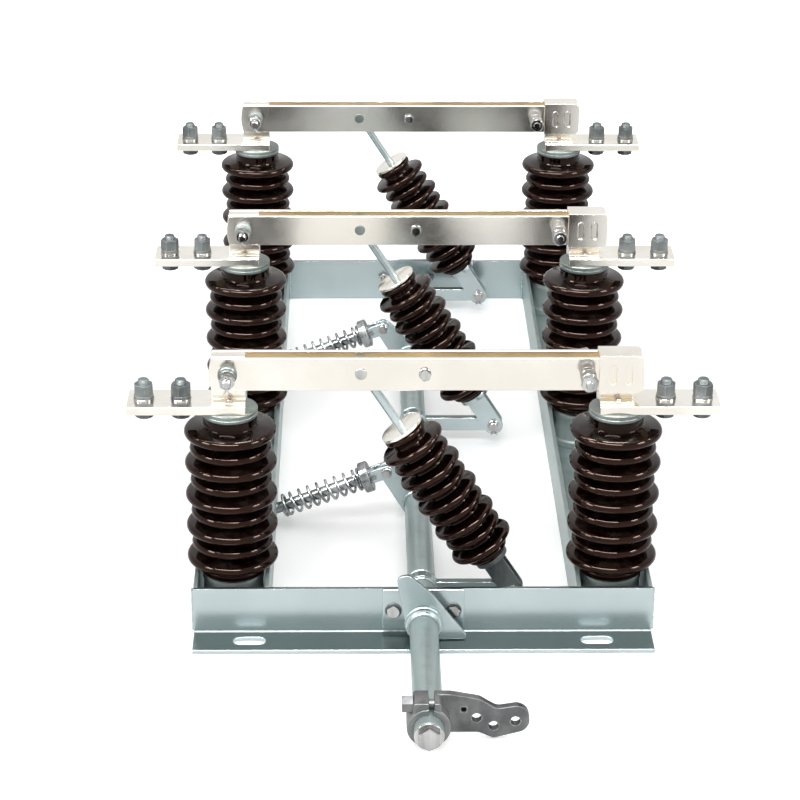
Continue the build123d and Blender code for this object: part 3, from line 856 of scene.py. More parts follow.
    def pierced(
        self, outline: Points, way: Vector, holes: Sequence[Points] = (), rounding: float = 0.0
    ) -> None:
        """A flat outline made thick, with holes through it and its edges rounded.

        Args:
            outline: its corners in order, however the outline bends.
            way: the thickness and its direction.
            holes: the outlines of the holes.
            rounding: how far both faces' edges are rounded.
        """
        self.flat = True
        quarter = [math.radians(22.5 * k) for k in range(5)] if rounding else [0.0]
        near = [(rounding * (1 - math.cos(t)), rounding * (1 - math.sin(t))) for t in quarter]
        stations = near + [(way.length - deep, inset) for deep, inset in reversed(near)]
        ends: list[list[bmesh.types.BMEdge]] = [[], []]
        for loop, sign in ((outline, 1), *((hole, -1) for hole in holes)):
            inwards = self.inwards(loop, way.normalized(), sign)
            rings = []
            for deep, inset in stations:
                shift = way.normalized() * deep
                rings.append([self.mesh.verts.new(p + shift + m * inset) for p, m in zip(loop, inwards)])
            for low, high in zip(rings, rings[1:]):
                self.band(low, high)
            for end, ring in zip(ends, (rings[0], rings[-1])):
                end += [self.mesh.edges.get(pair) for pair in zip(ring, ring[1:] + ring[:1])]
        for end in ends:
            bmesh.ops.triangle_fill(self.mesh, edges=end, use_beauty=True, normal=way.normalized())

    @staticmethod
    def inwards(loop: Points, normal: Vector, sign: int) -> list[Vector]:
        """The ways that a closed outline's corners move when its material shrinks.

        Args:
            loop: the corners in order.
            normal: the direction across the outline's plane.
            sign: 1 for an outer edge and -1 for a hole.

        Returns:
            One shift for each corner, for a shrinkage of one metre.
        """
        count = len(loop)
        area = sum((loop[i].cross(loop[(i + 1) % count]) for i in range(count)), Vector()).dot(normal)
        turn = math.copysign(sign, area)
        sides = [normal.cross(loop[(i + 1) % count] - loop[i]).normalized() * turn for i in range(count)]
        shifts = []
        for i in range(count):
            both = sides[i - 1] + sides[i]
            shifts.append(both / max(1 + sides[i - 1].dot(sides[i]), 0.4))
        return shifts

    def band(self, low: Sequence[bmesh.types.BMVert], high: Sequence[bmesh.types.BMVert]) -> None:
        """Faces between two closed rings of as many points.

        Args:
            low: the first ring.
            high: the second ring.
        """
        count = len(low)
        for i in range(count):
            k = (i + 1) % count
            self.mesh.faces.new((low[i], low[k], high[k], high[i]))

    def made(self, name: str, creased: bool) -> bpy.types.Object:
        """The shape as a smooth object.

        Args:
            name: its name.
            creased: whether it keeps its sharp edges.

        Returns:
            The object.
        """
        bmesh.ops.recalc_face_normals(self.mesh, faces=self.mesh.faces)
        data = bpy.data.meshes.new(name)
        self.mesh.to_mesh(data)
        self.mesh.free()
        data.shade_smooth()
        if creased:
            data.set_sharp_from_angle(angle=CREASED_FROM)
        return shown(name, data)


def circle(sides: int) -> list[float]:
    """The angles of a ring's points, in radians."""
    return [2 * math.pi * k / sides for k in range(sides)]


def arc(centre: Vector, radius: float, start: float, end: float, count: int) -> list[Vector]:
    """Points on an arc in the X, Z plane.

    Args:
        centre: the arc's centre.
        radius: its radius.
        start: the angle it starts at, in degrees from +X.
        end: the angle it ends at.
        count: how many points it has.

    Returns:
        The points.
    """
    angles = [math.radians(start + (end - start) * i / (count - 1)) for i in range(count)]
    return [centre + Vector((math.cos(a), 0, math.sin(a))) * radius for a in angles]


def sharp(points: Points) -> list[Triple]:
    """Corners for an outline that are left unrounded: X, Z and no radius."""
    return [(p.x, p.z, 0.0) for p in points]


def polar(centre: Pair, radius: float, angle: float) -> Pair:
    """A point at a distance and an angle in degrees from a centre, in X and Z."""
    turn = math.radians(angle)
    return (centre[0] + radius * math.cos(turn), centre[1] + radius * math.sin(turn))


def rounded(corners: Sequence[Triple], y: float, steps: int = 9) -> list[Vector]:
    """An outline in the X, Z plane with rounded corners.

    Args:
        corners: X, Z and radius of each corner, in order.
        y: the depth that it lies at.
        steps: how many points make one rounded corner.

    Returns:
        The outline's points.
    """
    points = []
    for i, (x, z, radius) in enumerate(corners):
        here = Vector((x, z))
        if not radius:
            points.append(here)
            continue
        back = (Vector(corners[i - 1][:2]) - here).normalized()
        ahead = (Vector(corners[(i + 1) % len(corners)][:2]) - here).normalized()
        half = math.acos(max(-1.0, min(1.0, back.dot(ahead)))) / 2
        centre = here + (back + ahead).normalized() * (radius / math.sin(half))
        start = here + back * (radius / math.tan(half)) - centre
        end = here + ahead * (radius / math.tan(half)) - centre
        points += [centre + start.slerp(end, k / (steps - 1)).normalized() * radius for k in range(steps)]
    return [Vector((p.x, y, p.y)) for p in points]


class Finishes:
    """Builds every finish once, for the pieces to share."""

    def __init__(self, effects: Effects) -> None:
        """Builds the materials."""
        self.materials = {slot: finish.material(effects) for slot, finish in FINISHES.items()}
        self.dull = DULL_ZINC.material(effects)

    def of(self, name: str, slot: Slot) -> bpy.types.Material:
        """The material for a piece of this name in this slot."""
        return self.dull if name in DULL_PIECES else self.materials[slot]


@dataclass(frozen=True)
class Assembly:
    """Pieces of the switch that ride on one body."""

    finishes: Finishes
    body: ClassVar[str] = "frame"

    def fit(
        self, shape: Shape, name: str, slot: Slot, replaces: Sequence[str] = (), rounding: float = 0.0
    ) -> bpy.types.Object:
        """Makes a shape into a piece on this body, and reports it.

        Args:
            shape: its form.
            name: the piece's name.
            slot: the material slot that it takes its finish from.
            replaces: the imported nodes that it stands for.
            rounding: how far its sharp edges are rounded.

        Returns:
            The piece.
        """
        piece = shape.made(name, creased=not rounding)
        piece.data.materials.clear()
        piece.data.materials.append(self.finishes.of(name, slot))
        if rounding:
            soft = piece.modifiers.new("rounded edges", "BEVEL")
            soft.width = rounding
            soft.segments = 2
            soft.limit_method = "ANGLE"
            soft.angle_limit = ROUNDED_FROM
            soft.harden_normals = True
            soft.use_clamp_overlap = False
        if rounding or shape.flat:
            flat = piece.modifiers.new("flat faces", "WEIGHTED_NORMAL")
            flat.keep_sharp = True
            flat.weight = 100
        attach(piece, self.body)
        if replaces:
            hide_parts(*replaces)
        LOG.info("%s rides on %s in %s", name, self.body, slot.value)
        return piece

    def soften(self, node: str, slot: Slot, rounding: float) -> None:
        """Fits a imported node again, with its edges rounded."""
        self.fit(Shape.of_node(node), f"{node}_dressed", slot, (node,), rounding)


@dataclass(frozen=True)
class Swinging(Assembly):
    """Pieces that turn about a joint of their own, numbered as their body and joint are."""

    number: int
    kind: ClassVar[str]

    @property
    def body(self) -> str:
        """The body that carries them."""
        return f"{self.kind}_group_{self.number}"

    @property
    def hinge(self) -> Vector:
        """The middle of the joint that they turn about."""
        return pivot(f"{self.kind}_{self.number}_swing")


@dataclass(frozen=True)
class Strut(Swinging):
    """A straight part from its joint to a far place, given by its X and Z."""

    seat: Pair

    @property
    def far(self) -> Vector:
        """The far place."""
        return Vector((self.seat[0], self.hinge.y, self.seat[1]))

    @property
    def way(self) -> Vector:
        """The direction from the joint to the far place."""
        return (self.far - self.hinge).normalized()

    def along(self, length: float) -> Matrix:
        """A place this far along it from the joint."""
        return placed(self.hinge + self.way * length, self.way)


# ---- frame
@dataclass(frozen=True)
class WeldedFrame(Assembly):
    """Two channels between two angles, welded at the four corners."""

    steel: float = 6 * MM
    height: float = 72 * MM
    face: float = 621 * MM
    root: float = 1.5 * MM
    rail_centre: float = 262.5 * MM
    rail_half: float = 52 * MM
    rounding: float = 0.9 * MM
    bead: float = 2.4 * MM
    bead_step: float = 1.6 * MM
    bead_sunk: float = 0.4
    bead_proud: float = 0.3

    def build(self) -> None:
        """Dresses the four bars and lays the root fillets and the welds."""
        for node in ("front_angle", "rear_angle", "hinge_channel", "contact_channel"):
            self.soften(node, Slot.GALVANISED, self.rounding)
        self.root_fillets()
        self.weld()

    def root_fillets(self) -> None:
        """The hollow round at the root of each angle, between its two legs."""
        fillets = Shape()
        low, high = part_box("front_angle")
        along = Vector((high.x - low.x - 2 * MM, 0, 0))
        for facing in (-1, 1):
            root = Vector((low.x + 1 * MM, facing * self.face, self.steel))
            profile = [root]
            for turn in circle(24)[:7]:
                out, up = 1 - math.cos(turn), 1 - math.sin(turn)
                profile.append(root + Vector((0, facing * out * self.root, up * self.root)))
            fillets.slab(profile, along)
        self.fit(fillets, "angle_root_fillets", Slot.GALVANISED)

    def weld(self) -> None:
        """A bead down each flange and across each web, where the channels meet the angles."""
        beads = Shape()
        proud = self.bead_proud * self.bead
        low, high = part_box("hinge_channel")
        for y, inwards in ((low.y, 1), (high.y, -1)):
            at = y + inwards * self.bead_sunk * self.bead
            for centre in (-self.rail_centre, self.rail_centre):
                for side in SIDES:
                    outer = centre + side * (self.rail_half + proud)
                    inner = centre + side * (self.rail_half - self.steel - proud)
                    for x in (outer, inner):
                        top = Vector((x, at, self.height - self.steel / 2))
                        self.lay(beads, Vector((x, at, self.steel)), top)
                reach = self.rail_half - self.steel
                web = self.steel + proud
                self.lay(beads, Vector((centre - reach, at, web)), Vector((centre + reach, at, web)))
        self.fit(beads, "frame_welds", Slot.GALVANISED)

    def lay(self, beads: Shape, start: Vector, end: Vector) -> None:
        """Lays one straight bead from a start to an end."""
        count = max(6, round((end - start).length / self.bead_step))
        beads.bead([start.lerp(end, i / count) for i in range(count + 1)], self.bead)


# ---- porcelain
@dataclass(frozen=True)
class ShedBody:
    """A glazed porcelain body with round-edged sheds."""

    length: float
    core: float
    rim: float
    sheds: tuple[Pair, ...]
    sides: int = 80
    rise: float = 1.4
    fall: float = 0.7
    rim_steps: int = 8
    blend: float = 4.5 * MM

    def outline(self) -> tuple[list[Pair], list[float]]:
        """The body's profile.

        Returns:
            The points, each a radius and a height, and how near each is to its rim.
        """
        points = [(self.core, 0.0)]
        reach = [0.0]
        for height, radius in sorted(self.sheds):
            edge = radius - self.rim
            share = (edge - self.core) / edge
            foot = height - self.rim * (1 + self.fall * share)
            head = height + self.rim * (1 + self.rise * share)
            lower = self.root(foot, edge, height - self.rim, -1)
            upper = self.root(head, edge, height + self.rim, 1)
            points += lower
            reach += [0.0] * len(lower)
            for k in range(self.rim_steps + 1):
                a = math.pi * (k / self.rim_steps - 0.5)
                points.append((edge + self.rim * math.cos(a), height + self.rim * math.sin(a)))
                reach.append(0.55 + 0.45 * math.cos(a))
            points += reversed(upper)
            reach += [0.0] * len(upper)
        inside = [(p, n) for p, n in zip(points, reach) if 0 <= p[1] < self.length]
        points = [p for p, _ in inside] + [(self.core, self.length)]
        return points, [n for _, n in inside] + [0.0]

    def root(self, at_core: float, edge: float, at_edge: float, side: int) -> list[Pair]:
        """The soft corner between the core and a shed's face.

        Args:
            at_core: height at which the face would meet the core.
            edge: radius at which the face meets the rim.
            at_edge: the face's height there.
            side: -1 under the shed, 1 above it.

        Returns:
            The corner's points, from the core outwards.
        """
        away = min(self.blend, 0.6 * (edge - self.core))
        slope = (at_edge - at_core) / (edge - self.core)
        start = Vector((self.core, at_core + side * away))
        bend = Vector((self.core, at_core))
        end = Vector((self.core + away, at_core + slope * away))
        share = (0.0, 0.3, 0.6, 1.0)
        curve = [start * (1 - t) ** 2 + bend * 2 * t * (1 - t) + end * t * t for t in share]
        return [(p.x, p.y) for p in curve]

    def draw(self, shape: Shape, place: Matrix) -> None:
        """Adds the body to a shape, its lower end at the place's origin."""
        points, reach = self.outline()
        shape.turn(place, points, self.sides, reach=reach)


@dataclass(frozen=True)
class PostRow(Assembly):
    """The three posts of one side, with their cast bases and metal caps."""

    end: End
    centre: float = 262.5 * MM
    web: float = 6 * MM
    base_top: float = 61 * MM
    top: float = 298 * MM
    pad_bottom: float = 310 * MM
    screw_out: float = 34 * MM
    porcelain: ShedBody = ShedBody(
        length=237 * MM, core=37 * MM, rim=6.5 * MM,
        sheds=(
            *(((26 + 47.2 * i) * MM, 63 * MM) for i in range(5)),
            *(((48 + 47.2 * i) * MM, 56 * MM) for i in range(4)),
            (8 * MM, 46 * MM),
        ))

    def build(self) -> None:
        """Builds the row's porcelain, and its bases and caps."""
        porcelain, bases, caps, studs = Shape(), Shape(), Shape(), Shape()
        for pole in POLES:
            foot = Vector((self.end.value * self.centre, pole_depth(pole), 0))
            self.porcelain.draw(porcelain, placed(foot + UP * self.base_top, UP))
            self.base(bases, foot)
            self.cap(caps, studs, foot)
        label = self.end.label
        self.fit(porcelain, f"{label}_post_porcelain", Slot.PORCELAIN, (f"{label}_posts",))
        self.fit(bases, f"{label}_post_base", Slot.BASE, ("post_bases",))
        self.fit(caps, f"{label}_post_cap", Slot.CAP, ("post_caps",))
        self.fit(studs, f"{label}_cap_screws", Slot.DARK_BOLTS)

    def base(self, bases: Shape, foot: Vector) -> None:
        """A cast base with a stepped foot flange and a beaded neck.

        Args:
            bases: takes the base.
            foot: the post's place on the frame's underside.
        """
        top = (self.base_top - self.web) / MM
        profile = in_mm(
            (44, 0), (45, 1), (45, 9), (44.2, 10.5), (43, 12), (42.4, 16), (41.6, 30), (41, top - 12),
            (41.8, top - 10), (42.4, top - 7), (42.4, top - 3), (41.8, top - 1), (40.5, top))
        bases.turn(placed(foot + UP * self.web, UP), profile, 64)

    def cap(self, caps: Shape, studs: Shape, foot: Vector) -> None:
        """A top flange with a rounded edge and a groove round it, and its two sunk screws.

        Args:
            caps: takes the flange.
            studs: takes the screws.
            foot: the post's place on the frame's underside.
        """
        thick = (self.pad_bottom - self.top) / MM
        profile = in_mm(
            (35.6, -0.4), (36.4, 0.6), (37.2, 1.2), (38, 2.4), (38, 5.6), (37.3, 6.2), (37.3, 6.9),
            (38, 7.5), (38, thick - 1.5), (37.6, thick - 0.5), (36.6, thick), (12, thick))
        caps.turn(placed(foot + UP * self.top, UP), profile, 64)
        head = in_mm((1.4, 0), (2.6, 0), (2.6, 0.5), (2.2, 0.6), (1.6, 0.1))
        for side in SIDES:
            screw = foot + Vector((0, side * self.screw_out, self.pad_bottom - 0.4 * MM))
            studs.turn(placed(screw, UP), head, 20, hollow=True)


# ---- terminals
@dataclass(frozen=True)
class TerminalRow(Assembly):
    """The terminal bars of one side, with their bolts and foot screws."""

    end: End
    pad_bottom: float = 310 * MM
    pad_top: float = 322 * MM
    bolt_reach: Pair = (328 * MM, 378 * MM)
    foot_top: float = 326 * MM
    foot_centre: float = 262 * MM
    foot_screw: float = 16.5 * MM
    nut: float = 24 * MM
    washer_bore: float = 8.4 * MM
    rounding: float = 1.0 * MM

    def build(self) -> None:
        """Dresses the bars and builds their bolts."""
        heads, washers, screws = Shape(), Shape(), Shape()
        for pole in POLES:
            y = pole_depth(pole)
            self.soften(f"{self.end.label}_terminal_{pole}", Slot.TINNED, self.rounding)
            for k, reach in enumerate(self.bolt_reach):
                at = Vector((self.end.value * reach, y, 0))
                self.bolt(heads, washers, at, spin=30 + 9 * ((pole + 2 * k) % 4 - 2))
            for side in SIDES:
                at = Vector((self.end.value * self.foot_centre, y + side * self.foot_screw, self.foot_top))
                screws.disc(placed(at, UP), 4.2 * MM, 2.6 * MM, 1.1 * MM)
        label = self.end.label
        self.fit(heads, f"{label}_terminal_nuts", Slot.DARK_BOLTS, ("terminal_bolts",))
        self.fit(washers, f"{label}_terminal_washers", Slot.BRIGHT_BOLTS)
        self.fit(screws, f"{label}_foot_screws", Slot.BRIGHT_BOLTS)

    def bolt(self, heads: Shape, washers: Shape, at: Vector, spin: float) -> None:
        """One terminal bolt: a head and washer below, washers, a nut and the bolt end above.

        Args:
            heads: takes the dark parts.
            washers: takes the bright flat washers.
            at: the bolt's place on the frame's underside.
            spin: how far the nut is turned, in degrees.
        """
        bore = self.washer_bore
        below = at + UP * (self.pad_bottom - 3.3 * MM)
        heads.hexagon(placed(below, -UP), self.nut, 10.2 * MM, spin=spin + 20)
        heads.washer(placed(below, UP), bore, 14 * MM, 3.3 * MM)
        above = at + UP * self.pad_top
        washers.washer(placed(above, UP), bore, 14 * MM, 2.6 * MM)
        heads.washer(placed(above + UP * 2.6 * MM, UP), bore, 13.2 * MM, 4.2 * MM)
        top = placed(above + UP * 7 * MM, UP)
        heads.nut(top, self.nut, 15.6 * MM, (8 * MM, 2 * MM, 22 * MM), spin)


# ---- bearings
@dataclass(frozen=True)
class ShaftBearing(Assembly):
    """A bolted plate and bush that carries one end of the shaft."""

    node: str
    facing: int
    face: float = 621 * MM
    thick: float = 5 * MM
    half: float = 56 * MM
    low: float = 13 * MM
    high: float = 73 * MM
    shaft_height: float = 32 * MM
    bolt_place: Pair = (41 * MM, 41 * MM)
    bolt_flats: float = 17 * MM

    def build(self) -> None:
        """Builds the plate, its bush and its two bolts."""
        way = Vector((0, self.facing, 0))
        wall = Vector((0, self.facing * self.face, 0))
        plate = Shape()
        plate.slab([wall + corner for corner in self.outline()], way * self.thick)
        self.fit(plate, f"{self.node}_plate", Slot.GALVANISED, (self.node,), 0.9 * MM)
        axis = placed(wall + UP * self.shaft_height - way * 14 * MM, way)
        bush, bolts, washers = Shape(), Shape(), Shape()
        lip = in_mm((19.8, 0), (22.2, 0), (22.9, 0.8), (22.9, 18.4), (22.4, 19), (21, 19), (19.8, 18.4))
        bush.turn(axis, lip, 64, hollow=True)
        self.fit(bush, f"{self.node}_bush", Slot.BASE)
        x, z = self.bolt_place
        for side in SIDES:
            at = wall + Vector((side * x, 0, z))
            front = at + way * self.thick
            top = washers.washer(placed(front, way), 5.2 * MM, 11.4 * MM, 1.6 * MM)
            bolts.hexagon(top, self.bolt_flats, 5.4 * MM, spin=20 + 50 * side)
            behind = placed(at - way * 6 * MM, -way)
            bolts.nut(behind, self.bolt_flats, 8 * MM, (5 * MM, 1.5 * MM, 12 * MM), 35)
        self.fit(bolts, f"{self.node}_bolts", Slot.BRIGHT_BOLTS)
        self.fit(washers, f"{self.node}_washers", Slot.DARK_BOLTS)

    def outline(self) -> list[Vector]:
        """The plate's outline, with rounded corners.

        Returns:
            The outline's points, about the middle of the wall.
        """
        radius = 3 * MM
        left, right = -self.half + radius, self.half - radius
        bottom, top = self.low + radius, self.high - radius
        points = []
        for x, z, start in ((right, top, 0), (left, top, 90), (left, bottom, 180), (right, bottom, 270)):
            points += arc(Vector((x, 0, z)), radius, start, start + 90, 5)
        return points


# ---- operating shaft
@dataclass(frozen=True)
class OperatingShaft(Assembly):
    """The pipe that turns, with its cranks, spring levers, stop plate and end fittings."""

    radius: float = 19.5 * MM
    wall: float = 3.5 * MM
    ring_start: float = 627 * MM
    screw_head: float = 11 * MM
    travel: float = 80.0
    stop_back: float = -641 * MM
    stop_thick: float = 6 * MM
    stop_reach: float = 24.5 * MM
    stop_heel: float = 25.5 * MM
    stop_lobe: float = 75.4 * MM
    collar_end: float = 18.3 * MM
    body: ClassVar[str] = "shaft_group"

    def build(self) -> None:
        """Builds everything on the shaft except its lever."""
        self.pipe()
        self.end_screw()
        self.soften("crank_arms", Slot.GALVANISED, 0.8 * MM)
        self.soften("spring_levers", Slot.GALVANISED, 0.8 * MM)
        self.stop_plate()
        self.welds()

    def at(self, y: float) -> Vector:
        """A point on the shaft's axis."""
        return Vector((0, y, pivot("shaft_turn").z))

    def pipe(self) -> None:
        """The pipe, and the ring that keeps it from sliding."""
        low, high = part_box("shaft")
        start = low.y + self.screw_head
        bore = self.radius - self.wall
        pipe, ring, screw = Shape(), Shape(), Shape()
        pipe.washer(placed(self.at(start), -FRONT), bore, self.radius, high.y - start, 0.7 * MM, 64)
        self.fit(pipe, "shaft_pipe", Slot.GALVANISED, ("shaft",))
        foot = placed(self.at(self.ring_start), -FRONT)
        ring.washer(foot, self.radius, 25 * MM, 12 * MM, 1 * MM, 64)
        self.fit(ring, "shaft_ring", Slot.GALVANISED)
        top = placed(self.at(self.ring_start + 6 * MM) + UP * 24 * MM, UP)
        screw.hexagon(top, 10 * MM, 5.4 * MM, spin=12)
        self.fit(screw, "shaft_ring_screw", Slot.DARK_BOLTS)

    def end_screw(self) -> None:
        """The bright screw that closes the front end, on its thick washer."""
        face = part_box("shaft")[0].y + self.screw_head
        plug = Shape()
        top = plug.washer(placed(self.at(face + 1.5 * MM), FRONT), 4 * MM, 19.2 * MM, 3.4 * MM)
        plug.hexagon(top, 27.4 * MM, self.screw_head - 2 * MM, spin=30)
        self.fit(plug, "shaft_end_screw", Slot.BRIGHT_BOLTS)

    def stop_plate(self) -> None:
        """The plate that meets the front angle at both ends of the travel, and its collar."""
        axis = (0.0, self.at(0).z)
        side = 270 - self.travel
        half_heel = math.degrees(math.acos(self.stop_reach / self.stop_heel))
        turns = [side + half_heel + (270 - side - 2 * half_heel) * k / 12 for k in range(13)]
        heel = [(*polar(axis, self.stop_heel, turn), 0.0) for turn in turns]
        x, z = polar(polar(axis, self.stop_reach, side), self.stop_lobe, side - 90)
        lobe = [(x, z, 8 * MM), (x + 17 * MM, z + 4 * MM, 8 * MM), (10 * MM, 78 * MM, 0.0)]
        tip = [(60 * MM, 12 * MM, 5 * MM), (56 * MM, heel[-1][1], 3.5 * MM)]
        corners = [*lobe, *tip, *reversed(heel)]
        back = self.stop_back
        bore = arc(Vector((0, back, axis[1])), self.radius, 0, 350, 36)
        plate, collar = Shape(), Shape()
        plate.pierced(rounded(corners, back), FRONT * self.stop_thick, [bore], 0.8 * MM)
        self.fit(plate, "stop_plate_cut", Slot.GALVANISED, ("stop_plate",))
        inner = self.radius / MM
        ring = in_mm(
            (inner, 0), (23.8, 0), (24.3, 0.6), (24.3, 7), (22.8, 7.8), (22.8, 11), (21.8, 12), (inner, 12))
        collar.turn(placed(self.at(back - self.stop_thick), FRONT), ring, 64, hollow=True)
        self.fit(collar, "stop_plate_collar", Slot.GALVANISED)

    def welds(self) -> None:
        """A bead round the shaft on each side of every part welded to it."""
        beads = Shape()
        cranks = [(pole_depth(pole), 11.6 * MM, 0.9 * MM) for pole in POLES]
        levers = [(middle(f"coil_spring_{bay}").y, 5 * MM, 1.6 * MM) for bay in BAYS]
        for y, half, proud in (*cranks, *levers):
            for side in SIDES:
                self.ring_bead(beads, y + side * half, self.radius + proud)
        self.ring_bead(beads, self.stop_back - self.stop_thick - 0.4 * MM, 24 * MM)
        self.ring_bead(beads, self.stop_back - self.collar_end, self.radius + 1.4 * MM)
        self.fit(beads, "shaft_welds", Slot.GALVANISED)

    def ring_bead(self, beads: Shape, y: float, radius: float) -> None:
        """A bead right round the shaft."""
        count = round(2 * math.pi * radius / (1.7 * MM))
        beads.bead(arc(self.at(y), radius, 0, 360 - 360 / count, count), 2 * MM, closed=True)


@dataclass(frozen=True)
class OperatingLever(Assembly):
    """The cast lever clamped on the shaft's front end, its arm drawn from the shaft's axis."""

    front: float = -920 * MM
    back: float = -883 * MM
    thick: float = 11.5 * MM
    hub: float = 28.3 * MM
    bore: float = 19.5 * MM
    lip: float = 2 * MM
    ears: Triple = (-20 * MM, 16 * MM, 35 * MM)
    split: float = 7 * MM
    edge: tuple[Triple, ...] = (
        (12, 35, 0), (28, 35, 10), (64.7, 28, 14), (87.4, 13.6, 14), (115.6, 18.3, 16), (128, 10, 16),
        (130, -8, 16), (123.1, -18.8, 16), (83.6, -29.5, 8), (64.4, -20.6, 14), (16, -20.6, 0))
    holes: tuple[Pair, ...] = ((61.6, 0.7), (83.4, -11.1), (111.4, -4.3))
    hole: float = 7.6 * MM
    square: Pair = (40.6 * MM, 8.6 * MM)
    square_side: float = 9 * MM
    square_depth: float = 11 * MM
    clamp_height: float = 25 * MM
    rounding: float = 1.1 * MM
    body: ClassVar[str] = "shaft_group"

    def build(self) -> None:
        """Builds the arm, the split hub and the clamp bolt."""
        axis = pivot("shaft_turn").z
        casting = Shape()
        self.arm(casting, axis)
        self.split_hub(casting, axis)
        self.fit(casting, "lever_casting", Slot.CAST_LEVER, ("operating_lever",))
        self.clamp(axis)

    def arm(self, casting: Shape, axis: float) -> None:
        """The bent arm with its three holes and its square blind hole.

        Args:
            casting: takes the arm.
            axis: the height of the shaft's axis.
        """
        near = self.back - self.thick
        corners = [(x * MM, axis + z * MM, r * MM) for x, z, r in self.edge]
        centres = [Vector((x * MM, near, axis + z * MM)) for x, z in self.holes]
        holes = [arc(centre, self.hole, 0, 350, 36) for centre in centres]
        holes.append(self.square_at(axis, near, 0.0))
        way = -FRONT
        casting.pierced(rounded(corners, near), way * self.thick, holes, self.rounding)
        depth = near + self.square_depth
        floor = self.square_at(axis, depth, 1.5 * MM)
        casting.slab(floor, way * (self.back - depth - 0.3 * MM))

    def square_at(self, axis: float, y: float, margin: float) -> Points:
        """The outline of the square hole.

        Args:
            axis: the height of the shaft's axis.
            y: the depth that the outline lies at.
            margin: how far it stands outside the hole.

        Returns:
            Its four corners.
        """
        x, z, side = self.square[0], axis + self.square[1], self.square_side
        low, high = (x - margin, z - margin), (x + side + margin, z + side + margin)
        corners = (low, (high[0], low[1]), high, (low[0], high[1]))
        return [Vector((u, y, w)) for u, w in corners]

    def split_hub(self, casting: Shape, axis: float) -> None:
        """The hub, split at the top between two ears, and the round lip in front of it.

        Args:
            casting: takes the hub.
            axis: the height of the shaft's axis.
        """
        left, right, top = self.ears
        opening = math.degrees(math.acos(self.split / self.bore))
        centre = Vector((0, self.front, axis))
        bore = sharp(arc(centre, self.bore, 90, 360 + opening, 40))
        edges = [math.degrees(math.acos(x / self.hub)) for x in (right, left, self.split)]
        rim = sharp(arc(centre, self.hub, edges[0], edges[1] - 360, 48))
        right_ear = [(self.split, axis + top, 1.5 * MM), (right, axis + top, 4 * MM)]
        left_ear = [(left, axis + top, 4 * MM), (0.0, axis + top, 1.5 * MM)]
        start = self.front + self.lip
        eared = rounded([*right_ear, *rim, *left_ear, *bore], start)
        casting.pierced(eared, -FRONT * (self.back - start), rounding=self.rounding)
        ring = sharp(arc(centre, self.hub - 1.2 * MM, edges[2], -270, 56))
        casting.pierced(rounded([*ring, *bore], self.front), -FRONT * (self.lip + 6 * MM), rounding=0.8 * MM)

    def clamp(self, axis: float) -> None:
        """The bolt that pinches the hub's ears.

        Args:
            axis: the height of the shaft's axis.
        """
        y = middle("lever_clamp_bolt").y
        left = Vector((self.ears[0], y, axis + self.clamp_height))
        away = Vector((-1, 0, 0))
        bolt = Shape()
        bolt.hexagon(placed(left, away), 21 * MM, 14 * MM, spin=30)
        bar = [left + away * 1 * MM, left - away * 34 * MM]
        bolt.sweep(bar, [6 * MM, 6 * MM], 24)
        self.fit(bolt, "lever_clamp_fastener", Slot.CAST_LEVER, ("lever_clamp_bolt",), 0.5 * MM)


